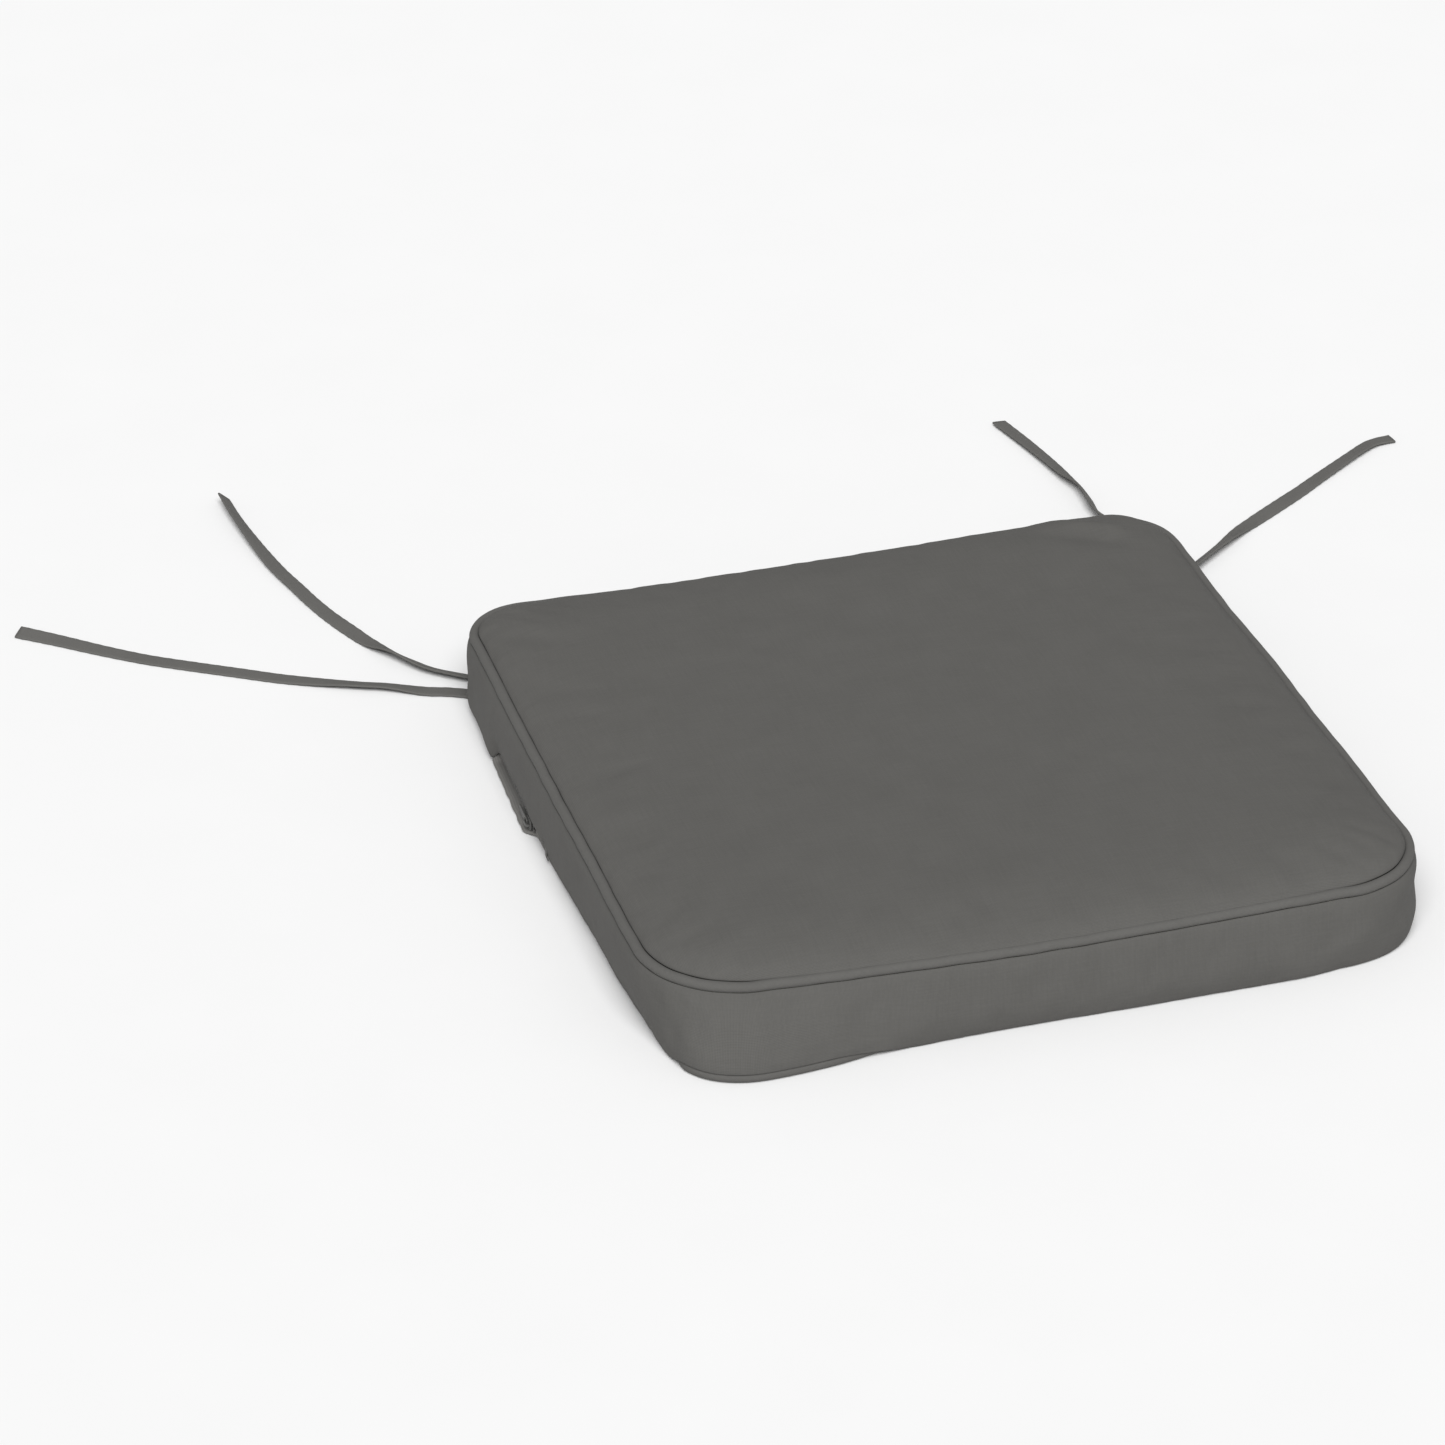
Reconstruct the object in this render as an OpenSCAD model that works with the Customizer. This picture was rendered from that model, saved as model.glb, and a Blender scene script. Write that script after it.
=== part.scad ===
// Box seat pad: a foam core in a piped fabric cover, with a zip that wraps round the back
// and a pair of tape ties at each back corner. Millimetres.
// The origin is the middle of the underside, +Z is up and the front edge faces -Y.

/* [Pad] */
// Width across the front edge, at the top seam
front_w = 400; // [380:2:420]
// Width across the back edge, at the top seam
back_w = 390; // [372:2:410]
// Depth from the front edge to the back edge
depth = 402; // [380:2:420]
// Radius of the two front corners in plan
front_r = 49; // [36:1:60]
// Radius of the two back corners in plan
back_r = 34; // [28:1:50]
// How far the front edge bows out at its middle
front_bow = 4.6; // [0:0.2:8]
// Height of the seam between the band and the top piping
band_h = 42; // [38:1:50]
// Rise of the crowned top above its seam
crown_h = 11; // [6:0.5:16]
// How far the band bulges out at mid height
bulge = 2.4; // [1:0.2:3]

/* [Fabric and filling] */
// Thickness of the cover fabric
fabric_t = 1; // [0.6:0.1:1.2]
// Thickness of the wadding sheet over the foam, at its edge
wadding_t = 3; // [2:0.5:4]
// Gap between the cover and the foam core at the sides
core_gap = 3.5; // [3:0.5:6]

/* [Piping] */
// Diameter of the covered piping
piping_d = 5.5; // [5:0.1:6]
// Thickness of the piping's cover strip
piping_cover_t = 0.6; // [0.4:0.1:0.8]
// Width of the piping's sewn flange
flange_w = 8; // [6:0.5:10]
// Inset of the bottom piping's centre from the top seam
bottom_inset = 7; // [6:0.1:8]

/* [Zip] */
// Y position where the zip tapes end, on both sides
zip_end_y = 10; // [-20:1:20]
// Y position of the slider's middle with the zip closed
slider_y = 44; // [40:1:50]
// Length of the slider
slider_len = 9; // [8:0.5:10]
// How far the zip runs in under the band behind its exposed stretch
zip_tuck = 3; // [0:0.5:3]
// Length of the pull tab from its hinge
tab_len = 17; // [12:0.5:20]

/* [Ties] */
// Width of the tape ties
tie_w = 9; // [8:0.5:10]
// Thickness of the tape ties
tie_t = 1.4; // [1.2:0.1:1.6]

/* [Hidden] */

// Plan of the pad. The sides slant by side_a because the back is narrower than the front.
side_a = atan((front_w - back_w) / 2 / depth);
shift_y = front_bow / 2;                 // puts the bowed outline's middle at the origin
front_y = -depth / 2 + shift_y;
back_y = depth / 2 + shift_y;
front_cx = front_w / 2 - front_r * (1 + sin(side_a)) / cos(side_a);
back_cx = back_w / 2 - back_r * (1 - sin(side_a)) / cos(side_a);
ARC_STEPS = 8;
MIN_CORNER_R = 8;                        // the arcs of deep insets shrink no further than this
BOW_STEPS = 6;
HEM_RAMP = 6;                            // length over which the band's hem rises at a zip end

// Heights of the layers
piping_r = piping_d / 2;
top_piping_inset = 2.6;
top_piping_z = band_h + 2.4;
top_edge_inset = top_piping_inset + piping_r + 0.1;
top_edge_z = band_h + 1.6;
CROWN_REACH = 150;                       // inset at which the crown is level
CROWN_POWER = 9;                         // higher makes it rise more steeply beside the seam
core_bottom_z = 3.6;
core_step_z = piping_d + 0.3;            // the core steps in below this to clear the bottom piping
core_top_z = band_h - 2;
core_inset = fabric_t + core_gap;
thread_r = 0.35;
top_flange_z = top_piping_z - 2.7;
bottom_flange_z = 1.7;
TOP_SLIT_A = -50;                        // where each piping's flanges leave its round, as an angle
BOTTOM_SLIT_A = -17;

// Zip chain. Insets are measured inwards from the zip's line, so a negative one is outside it.
tape_t = 0.5;
tape_inset = -0.65;
chain_z = 6;
chain_gap = 1.6;                         // slot between the two coils, for the slider's neck
coil_w = 1.4;
coil_t = 1.25;
hem_z = 9.3;                             // lower edge of the band over the zip
zip_bend_y = 36;                         // the chain runs straight inwards from here
zip_tuck_y = 116;                        // to here, which the slider's travel stays within
zip_slope = tan(side_a) + zip_tuck / cos(side_a) / (zip_tuck_y - zip_bend_y);
zip_a = atan(zip_slope);
tape_top_z = 15;
stop_len = 1.6;
stop_gap = 0.2;

// Slider: two plates either side of the tapes, joined by a neck
plate_h = 6;
plate_t = 0.9;
slot_gap = 0.35;
outer_plate_inset = tape_inset - coil_t - 0.4;
inner_plate_inset = tape_inset + tape_t + 0.4;
bridge_rise = 2.2;
bridge_bar = 0.8;
tab_t = 0.9;
tab_w = 5;

// Ties leave the bottom seam at two places on each back corner's arc, given by their angle.
// Their routes run from there, x outwards and y to the back, and lie on the floor.
SIDE_TIE_A = 33;
BACK_TIE_A = 57;
tie_z = tie_t / 2;
tie_tail = 2;                            // length that runs in under the piping from the root
ROUTE_LEFT_SIDE = [[0, 0], [6, 5], [16, 10], [27, 14], [46, 24], [58, 29], [78, 39], [98, 50],
                   [117, 62], [136, 74], [150, 83], [163, 92], [182, 107], [201, 123], [220, 138]];
ROUTE_LEFT_BACK = [[0, 0], [4, 6], [12, 12], [27, 24], [36, 36], [44, 49], [52, 66], [61, 89],
                   [69, 115], [74, 136], [79, 157], [83, 181], [86, 205], [88, 226], [89, 246]];
ROUTE_RIGHT_BACK = [[0, 0], [4, 8], [11, 17], [18, 28], [22, 42], [22, 57], [19, 71], [15, 83],
                    [14, 94], [15, 106], [15, 120], [13, 134], [10, 156], [5, 184], [-1, 212]];
ROUTE_RIGHT_SIDE = [[0, 0], [8, 4], [17, 9], [28, 18], [40, 28], [58, 43], [77, 60], [97, 74],
                    [117, 88], [136, 102], [154, 115], [168, 125], [181, 134], [189, 137],
                    [197, 138]];

COVER_GREY = [0.34, 0.34, 0.33];
PIPING_GREY = [0.38, 0.38, 0.37];
FOAM_CREAM = [0.93, 0.9, 0.78];
WADDING_WHITE = [0.95, 0.95, 0.94];
CORD_WHITE = [0.85, 0.85, 0.82];
ZIP_GREY = [0.42, 0.42, 0.41];
METAL_GREY = [0.55, 0.55, 0.54];
THREAD_GREY = [0.28, 0.28, 0.27];

// ---- Plan outline ----

function arc_points(centre, radius, from, to) =
    [for (i = [0 : ARC_STEPS]) centre + radius * [cos(from + (to - from) * i / ARC_STEPS),
                                                  sin(from + (to - from) * i / ARC_STEPS)]];

// How far a corner's centre moves in once its arc has shrunk to the smallest radius
function pull_in(radius, inset) = max(0, inset - radius + MIN_CORNER_R);

// Corners of the outline, each given by its plan radius and the slope of its side
function corner_centre(cx, cy, radius, inset, slope, x_sign, y_sign) =
    [x_sign * (cx - pull_in(radius, inset) * (1 + slope * sin(side_a)) / cos(side_a)),
     cy - y_sign * pull_in(radius, inset)];
function corner_radius(radius, inset) = radius - inset + pull_in(radius, inset);

function back_right_arc(inset) =
    arc_points(corner_centre(back_cx, back_y - back_r, back_r, inset, -1, 1, 1),
               corner_radius(back_r, inset), side_a, 90);
function back_left_arc(inset) =
    arc_points(corner_centre(back_cx, back_y - back_r, back_r, inset, -1, -1, 1),
               corner_radius(back_r, inset), 90, 180 - side_a);
function front_left_arc(inset) =
    arc_points(corner_centre(front_cx, front_y + front_r, front_r, inset, 1, -1, -1),
               corner_radius(front_r, inset), 180 - side_a, 270);
function front_right_arc(inset) =
    arc_points(corner_centre(front_cx, front_y + front_r, front_r, inset, 1, 1, -1),
               corner_radius(front_r, inset), 270, 360 + side_a);

// Half width of the slanted side at height y of the plan
function side_x(y, inset) = front_w / 2 - (y - front_y) * tan(side_a) - inset / cos(side_a);

function front_edge(inset) =
    let (reach = front_cx - pull_in(front_r, inset))
    [for (i = [1 : BOW_STEPS - 1]) [reach * (2 * i / BOW_STEPS - 1),
                                    front_y + inset - front_bow * sin(180 * i / BOW_STEPS)]];

// The whole outline, anticlockwise from the left end of the front-left corner
function outline(inset) = concat(
    front_left_arc(inset), front_edge(inset), front_right_arc(inset),
    [for (y = [zip_end_y - HEM_RAMP, zip_end_y]) [side_x(y, inset), y]],
    back_right_arc(inset), back_left_arc(inset),
    [for (y = [zip_end_y, zip_end_y - HEM_RAMP]) [-side_x(y, inset), y]]);

// Half width at height y of the plan along the zip, which runs in towards the back
function zip_x(y, inset) =
    side_x(y, inset + zip_tuck * max(0, min(1, (y - zip_bend_y) / (zip_tuck_y - zip_bend_y))));

// The heights where the zip's line bends, from its end at height y
function zip_bends(y) = [for (bend = [zip_bend_y, zip_tuck_y]) if (bend > y) bend];

// The zip's line, from the right side round the back to the left side
function zip_path(inset, right_y, left_y) = concat(
    [for (y = concat([right_y], zip_bends(right_y))) [zip_x(y, inset), y]],
    back_right_arc(inset + zip_tuck), back_left_arc(inset + zip_tuck),
    [for (i = [len(zip_bends(left_y)) - 1 : -1 : 0])
        let (y = zip_bends(left_y)[i]) [-zip_x(y, inset), y]],
    [[-zip_x(left_y, inset), left_y]]);

// ---- Solids swept from profiles of [inset, z] points ----

// Faces between successive loops of count points; wrap joins the last loop to the first
function wall_faces(loops, count, wrap) =
    [for (k = [0 : loops - (wrap ? 1 : 2)], i = [0 : count - 1])
        [k * count + i, k * count + (i + 1) % count,
         ((k + 1) % loops) * count + (i + 1) % count, ((k + 1) % loops) * count + i]];

// The same faces, seen from their other side
function turned(faces) = [for (f = faces) [for (k = [len(f) - 1 : -1 : 0]) f[k]]];

function loop_points(path, z) = [for (p = path) [p[0], p[1], z]];

// A closed ring: the profile goes anticlockwise seen with inset to the right and z up
module ring(profile) {
    loops = [for (p = profile) loop_points(outline(p[0]), p[1])];
    polyhedron(points = [for (loop = loops) each loop],
               faces = wall_faces(len(loops), len(loops[0]), true), convexity = 6);
}

// A disc-like sheet: the profile runs out along the underside and back in over the top
module sheet(profile) {
    loops = [for (p = profile) loop_points(outline(p[0]), p[1])];
    count = len(loops[0]);
    last = (len(loops) - 1) * count;
    polyhedron(points = [for (loop = loops) each loop],
               faces = concat([[for (i = [0 : count - 1]) i]],
                              turned(wall_faces(len(loops), count, false)),
                              [[for (i = [count - 1 : -1 : 0]) last + i]]),
               convexity = 6);
}

// An open strip along the zip's path, its profile anticlockwise as for a ring
module zip_strip(profile, right_y, left_y) {
    loops = [for (p = profile) loop_points(zip_path(p[0], right_y, left_y), p[1])];
    count = len(loops[0]);
    sides = len(loops);
    polyhedron(points = [for (loop = loops) each loop],
               faces = concat(
                   [for (k = [0 : sides - 1], i = [0 : count - 2])
                       [k * count + i, k * count + i + 1,
                        ((k + 1) % sides) * count + i + 1, ((k + 1) % sides) * count + i]],
                   [[for (k = [0 : sides - 1]) k * count]],
                   [[for (k = [sides - 1 : -1 : 0]) k * count + count - 1]]),
               convexity = 6);
}

function box_profile(inset, z, width, height) =
    [[inset, z], [inset + width, z], [inset + width, z + height], [inset, z + height]];

function round_profile(inset, z, radius, sides) =
    [for (i = [0 : sides - 1]) [inset + radius * cos(360 * i / sides),
                                z + radius * sin(360 * i / sides)]];

// ---- Filling ----

module foam_core() {
    color(FOAM_CREAM) {
        translate([0, 0, core_step_z])
            linear_extrude(core_top_z - core_step_z)
                polygon(outline(core_inset));
        translate([0, 0, core_bottom_z])
            linear_extrude(core_step_z - core_bottom_z)
                polygon(outline(bottom_inset + piping_r + 0.3));
    }
}

// Height of the crowned top above its edge, at an inset
function crown_rise(inset) =
    crown_h * (1 - pow(1 - min(1, (inset - top_edge_inset) / CROWN_REACH), CROWN_POWER));
CROWN_INSETS = [0.8, 3, 7, 14, 28, 55, 100];

module top_wadding() {
    start = top_edge_inset + flange_w + 0.4;
    middle = 110;
    over = [for (i = [4 : len(CROWN_INSETS) - 1]) top_edge_inset + CROWN_INSETS[i]];
    color(WADDING_WHITE)
        sheet(concat([[middle, core_top_z], [start, core_top_z], [start, core_top_z + wadding_t]],
                     [for (inset = over) [inset, top_edge_z + crown_rise(inset) - fabric_t - 0.1]]));
}

// ---- Cover ----

module top_panel() {
    insets = [for (d = CROWN_INSETS) top_edge_inset + d];
    under = [for (i = [len(insets) - 1 : -1 : 0])
                [insets[i], top_edge_z + crown_rise(insets[i]) - fabric_t]];
    over = [for (inset = insets) [inset, top_edge_z + crown_rise(inset)]];
    color(COVER_GREY)
        sheet(concat(under, [[top_edge_inset + 0.3, top_edge_z - fabric_t / 2]], over));
}

module bottom_panel() {
    color(COVER_GREY)
        linear_extrude(fabric_t)
            polygon(outline(bottom_inset + piping_r + 0.1));
}

// Outer face of the band as [inset, z], from the hem up, plain and over the zip
BAND_PLAIN = [[bottom_inset - 3.7, 1.6], [0.8, 4.5], [-0.6 * bulge, 11], [-bulge, 20], [-bulge, 28],
              [-0.5 * bulge, 36], [0.7, band_h - 0.2]];
BAND_OVER_ZIP = [[-1.75, hem_z], [-1.9, 11.5], [-bulge, 15], [-bulge, 20], [-bulge, 28],
                 [-0.5 * bulge, 36], [0.7, band_h - 0.2]];

// The band is a ring whose lower points change where the zip runs
module boxing_band() {
    insets = [for (side = [0, 1], k = [0 : len(BAND_PLAIN) - 1])
                 side == 0 ? k : len(BAND_PLAIN) - 1 - k];
    count = len(outline(0));
    side_pts = 2;
    zip_from = 2 * (ARC_STEPS + 1) + BOW_STEPS - 1 + side_pts - 1;
    zip_to = count - side_pts;
    points = [for (j = [0 : len(insets) - 1])
        let (k = insets[j], skin = j < len(BAND_PLAIN) ? 0 : fabric_t,
             plain = outline(BAND_PLAIN[k][0] + skin), over = outline(BAND_OVER_ZIP[k][0] + skin))
        for (i = [0 : count - 1])
            i >= zip_from && i <= zip_to ? [over[i][0], over[i][1], BAND_OVER_ZIP[k][1]]
                                         : [plain[i][0], plain[i][1], BAND_PLAIN[k][1]]];
    color(COVER_GREY)
        polyhedron(points = points,
                   faces = turned(wall_faces(len(insets), count, true)),
                   convexity = 6);
}

// Section of a piping's cover: a tube slit at slit_a, where its two flanges run inwards
function cover_profile(inset, z, flange_z, slit_a) =
    let (outer = piping_r, inner = piping_r - piping_cover_t, slit = 17, sides = 9,
         end = inset + piping_r + flange_w)
    concat(
        [for (i = [0 : sides]) let (a = slit_a + slit + (360 - 2 * slit) * i / sides)
            [inset + outer * cos(a), z + outer * sin(a)]],
        [[end, flange_z - piping_cover_t], [end, flange_z - 0.05]],
        [for (i = [sides : -1 : 0]) let (a = slit_a + slit / 3 + (360 - 2 * slit / 3) * i / sides)
            [inset + inner * cos(a), z + inner * sin(a)]],
        [[end, flange_z + 0.05], [end, flange_z + piping_cover_t]]);

module piping_cover(inset, z, flange_z, slit_a) {
    color(PIPING_GREY)
        ring(cover_profile(inset, z, flange_z, slit_a));
}

module piping_cord(inset, z) {
    color(CORD_WHITE)
        ring(round_profile(inset, z, piping_r - piping_cover_t - 0.15, 8));
}

module top_piping_cord() piping_cord(top_piping_inset, top_piping_z);
module top_piping_cover() piping_cover(top_piping_inset, top_piping_z, top_flange_z, TOP_SLIT_A);
module bottom_piping_cord() piping_cord(bottom_inset, piping_r);
module bottom_piping_cover() piping_cover(bottom_inset, piping_r, bottom_flange_z, BOTTOM_SLIT_A);

module seam_thread(inset, z) {
    color(THREAD_GREY)
        ring(round_profile(inset, z, thread_r, 4));
}

// The upper thread lies under its flanges and the lower one on top of its own
module top_seam_thread() seam_thread(top_edge_inset + 2.2, top_piping_z - 3.25);
module bottom_seam_thread() seam_thread(bottom_inset + piping_r + 2, piping_r + 0.32);

// ---- Zip ----

// Chain ends: the coils start behind the stops by the slider and run to the far end
coil_left_y = slider_y - slider_len / 2 - 0.3;
coil_right_y = zip_end_y + 8;

module zip_tape_upper() {
    color(ZIP_GREY)
        zip_strip(box_profile(tape_inset, chain_z + chain_gap / 2, tape_t,
                              tape_top_z - chain_z - chain_gap / 2), zip_end_y, zip_end_y);
}

// The lower tape turns in under the band to the bottom piping, which it meets where it is tucked in
module zip_tape_lower() {
    top = chain_z - chain_gap / 2;
    foot = bottom_inset - piping_r + 0.3 - zip_tuck;
    low = tie_t + 0.2;
    color(ZIP_GREY)
        zip_strip([[tape_inset, low], [foot, low], [foot, low + tape_t],
                   [tape_inset + tape_t, low + tape_t], [tape_inset + tape_t, top],
                   [tape_inset, top]], zip_end_y, zip_end_y);
}

module coil(z) {
    color(ZIP_GREY)
        zip_strip(box_profile(tape_inset - coil_t, z, coil_t, coil_w), coil_right_y, coil_left_y);
}

module zip_coil_upper() coil(chain_z + chain_gap / 2);
module zip_coil_lower() coil(chain_z - chain_gap / 2 - coil_w);

// Places its children on the left side's zip at height y of the plan, with +Y along the chain
// and -X outwards
module on_left_side(y) {
    translate([-zip_x(y, 0), y, 0])
        rotate([0, 0, y > zip_bend_y ? -zip_a : -side_a])
            children();
}

module on_right_side(y) {
    mirror([1, 0, 0])
        on_left_side(y)
            children();
}

// A block from inset a outwards to inset b, from y0 to y1 along the edge and z0 to z1
module side_block(a, b, y0, y1, z0, z1) {
    translate([min(a, b), y0, z0])
        cube([abs(b - a), y1 - y0, z1 - z0]);
}

// Crimped stops: one on each coil in front of the slider, and one across both at the far end
module zip_end_stops() {
    over = tape_inset - coil_t;
    z0 = chain_z - chain_gap / 2 - coil_w;
    z1 = chain_z + chain_gap / 2 + coil_w;
    color(METAL_GREY) {
        on_left_side(coil_left_y) {
            side_block(over, tape_inset, -stop_len, -stop_gap, z0, z0 + coil_w);
            side_block(over, tape_inset, -stop_len, -stop_gap, z1 - coil_w, z1);
        }
        on_right_side(coil_right_y)
            side_block(over, tape_inset, -stop_len, -stop_gap, z0, z1);
    }
}

// Dense stitching across the tapes, which closes the opening at both ends
module bar_tack() {
    side_block(tape_inset - 0.8, tape_inset, -2, 0, 2.5, hem_z + 2.5);
}

module zip_bar_tacks() {
    color(THREAD_GREY) {
        on_left_side(zip_end_y + 3) bar_tack();
        on_right_side(zip_end_y + 3) bar_tack();
    }
}

module zip_topstitch() {
    color(THREAD_GREY)
        zip_strip(round_profile(-2.05, hem_z + 2, thread_r, 4), zip_end_y, zip_end_y);
}

// Shield-shaped plate of the slider: full height at the front, narrower at the back
module slider_plate(inset) {
    half = plate_h / 2;
    translate([inset, 0, chain_z])
        rotate([90, 0, 90])
            linear_extrude(plate_t)
                polygon([[-slider_len / 2, half - 1], [-slider_len / 2 + 1, half],
                         [slider_len / 2 - 3, half], [slider_len / 2, half - 0.6],
                         [slider_len / 2, -half + 0.6], [slider_len / 2 - 3, -half],
                         [-slider_len / 2 + 1, -half], [-slider_len / 2, -half + 1]]);
}

module zip_slider() {
    half = plate_h / 2;
    outer_face = outer_plate_inset - plate_t;
    bar_face = outer_face - bridge_rise;
    post_y = 3.4;
    color(METAL_GREY)
        on_left_side(slider_y) {
            slider_plate(outer_face);
            slider_plate(inner_plate_inset);
            // Lips that turn in towards the tapes along both edges of the outer plate
            for (z = [chain_z - half, chain_z + half - 0.5])
                side_block(outer_plate_inset - 0.1, tape_inset - slot_gap,
                           -slider_len / 2 + 1, slider_len / 2 - 3, z, z + 0.5);
            // Neck between the plates, in the slot between the coils
            side_block(outer_plate_inset - 0.1, inner_plate_inset + 0.1,
                       -slider_len / 2 + 0.6, -slider_len / 2 + 3, chain_z - 0.4, chain_z + 0.4);
            // Bridge that holds the pull tab
            for (y = [-post_y, post_y - bridge_bar])
                side_block(outer_face + 0.1, bar_face, y, y + bridge_bar,
                           chain_z - 0.8, chain_z + 0.8);
            side_block(bar_face, bar_face + bridge_bar, -post_y, post_y,
                       chain_z - 0.8, chain_z + 0.8);
        }
}

// Distance from the zip's line out to the pull tab's hinge, halfway under the bridge
tab_axis_out = -(outer_plate_inset - plate_t) + (bridge_rise - bridge_bar) / 2;

module zip_pull_tab() {
    eye = 4.1;
    arm = 1.2;
    z0 = chain_z - tab_w / 2;
    face = -tab_axis_out - tab_t / 2;
    color(METAL_GREY)
        on_left_side(slider_y) {
            translate([-tab_axis_out, 0, z0 + 0.2])
                cylinder(h = tab_w - 0.4, d = tab_t, $fn = 24);
            for (z = [z0, z0 + tab_w - arm])
                side_block(face, face + tab_t, 0, eye, z, z + arm);
            side_block(face, face + tab_t, eye - 0.01, tab_len - tab_w / 2, z0, z0 + tab_w);
            translate([face, tab_len - tab_w / 2, chain_z])
                rotate([0, 90, 0])
                    cylinder(h = tab_t, d = tab_w, $fn = 48);
        }
}

// ---- Ties ----

// Direction of the route at point i, from its neighbours
function heading(route, i) =
    let (a = route[max(0, i - 1)], b = route[min(len(route) - 1, i + 1)]) (b - a) / norm(b - a);

// Eight-sided flat section of the tape, as [across, up] in half widths and half thicknesses
TIE_SECTION = [[1, 0.4], [0.85, 1], [-0.85, 1], [-1, 0.4], [-1, -0.4], [-0.85, -1], [0.85, -1],
               [1, -0.4]];

// Where a tie comes out from under the piping, on the right side
function tie_root(angle) = [back_cx, back_y - back_r] +
    (back_r - bottom_inset + piping_r + 1) * [cos(angle), sin(angle)];

module tie(free_route, angle, side) {
    route = concat([-tie_tail * [cos(angle), sin(angle)]], free_route);
    sides = len(TIE_SECTION);
    rings = len(route);
    root = tie_root(angle);
    points = [for (i = [0 : rings - 1], s = TIE_SECTION)
        let (h = heading(route, i), across = [-h[1], h[0]] * s[0] * tie_w / 2)
        [side * (root[0] + route[i][0] + across[0]),
         root[1] + route[i][1] + across[1], tie_z + s[1] * tie_t / 2]];
    walls = [for (i = [0 : rings - 2], k = [0 : sides - 1])
        [i * sides + k, i * sides + (k + 1) % sides,
         (i + 1) * sides + (k + 1) % sides, (i + 1) * sides + k]];
    faces = concat(walls, [[for (k = [sides - 1 : -1 : 0]) k]],
                   [[for (k = [0 : sides - 1]) (rings - 1) * sides + k]]);
    color(COVER_GREY)
        polyhedron(points = points,
                   faces = side > 0 ? faces : turned(faces),
                   convexity = 6);
}

module tie_left_side() tie(ROUTE_LEFT_SIDE, SIDE_TIE_A, -1);
module tie_left_back() tie(ROUTE_LEFT_BACK, BACK_TIE_A, -1);
module tie_right_back() tie(ROUTE_RIGHT_BACK, BACK_TIE_A, 1);
module tie_right_side() tie(ROUTE_RIGHT_SIDE, SIDE_TIE_A, 1);

// Bar tack across a tape close to the seam
module tie_tack(route, angle, side) {
    spot = tie_root(angle) + route[1];
    turn = heading(route, 1);
    translate([side * spot[0], spot[1], tie_t + 0.25])
        rotate([0, 0, atan2(turn[1], side * turn[0])])
            cube([1.6, tie_w - 2, 0.6], center = true);
}

module tie_tacks_left() {
    color(THREAD_GREY) {
        tie_tack(ROUTE_LEFT_SIDE, SIDE_TIE_A, -1);
        tie_tack(ROUTE_LEFT_BACK, BACK_TIE_A, -1);
    }
}

module tie_tacks_right() {
    color(THREAD_GREY) {
        tie_tack(ROUTE_RIGHT_BACK, BACK_TIE_A, 1);
        tie_tack(ROUTE_RIGHT_SIDE, SIDE_TIE_A, 1);
    }
}

foam_core();
top_wadding();
top_panel();
bottom_panel();
boxing_band();
top_piping_cord();
top_piping_cover();
bottom_piping_cord();
bottom_piping_cover();
top_seam_thread();
bottom_seam_thread();
zip_tape_upper();
zip_tape_lower();
zip_coil_upper();
zip_coil_lower();
zip_end_stops();
zip_bar_tacks();
zip_topstitch();
zip_slider();
zip_pull_tab();
tie_left_side();
tie_left_back();
tie_right_back();
tie_right_side();
tie_tacks_left();
tie_tacks_right();
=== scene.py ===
"""Looks of the box seat pad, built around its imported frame.

Shapes are worked out in millimetres and turned into metres when their mesh is made. The origin is
the middle of the underside, +Z is up and the front edge faces -Y.
An inset is measured inwards from the outline of the top seam, so a negative one is outside it.
"""
import math
import bmesh
import bpy
import numpy as np
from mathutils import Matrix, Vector


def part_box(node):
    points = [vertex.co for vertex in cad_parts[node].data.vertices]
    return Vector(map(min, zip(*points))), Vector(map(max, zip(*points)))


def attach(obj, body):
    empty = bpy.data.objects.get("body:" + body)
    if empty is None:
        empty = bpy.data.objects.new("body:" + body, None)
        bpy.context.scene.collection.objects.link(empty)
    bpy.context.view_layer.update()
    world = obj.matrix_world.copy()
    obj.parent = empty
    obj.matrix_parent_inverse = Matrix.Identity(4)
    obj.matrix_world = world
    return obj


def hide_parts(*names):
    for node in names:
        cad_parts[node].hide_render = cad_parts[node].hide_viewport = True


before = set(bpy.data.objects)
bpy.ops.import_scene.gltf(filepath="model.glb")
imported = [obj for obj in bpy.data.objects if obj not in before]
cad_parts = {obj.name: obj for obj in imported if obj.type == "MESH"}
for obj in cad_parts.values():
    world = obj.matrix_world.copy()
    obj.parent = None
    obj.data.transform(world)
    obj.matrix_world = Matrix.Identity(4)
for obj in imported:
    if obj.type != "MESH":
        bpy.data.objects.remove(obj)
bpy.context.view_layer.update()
MM = 0.001


def core_heights():
    """Lowest and highest z of the foam core's CAD solid."""
    low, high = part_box("foam_core")
    return low[2] / MM, high[2] / MM


# ---- Camera ----

CAMERA_SPOT = (-0.9265, -2.7094, 1.6887)
CAMERA_TILT_DEG = 60.29
CAMERA_TURN_DEG = -16.77
CAMERA_LENS = 161.94
CAMERA_SENSOR = 36.0


def make_camera():
    data = bpy.data.cameras.new("camera")
    data.lens = CAMERA_LENS
    data.sensor_width = CAMERA_SENSOR
    camera = bpy.data.objects.new("camera", data)
    camera.location = CAMERA_SPOT
    camera.rotation_euler = (math.radians(CAMERA_TILT_DEG), 0, math.radians(CAMERA_TURN_DEG))
    bpy.context.scene.collection.objects.link(camera)
    bpy.context.scene.camera = camera


make_camera()

# ---- Sizes of the pad, as in its CAD source ----

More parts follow.
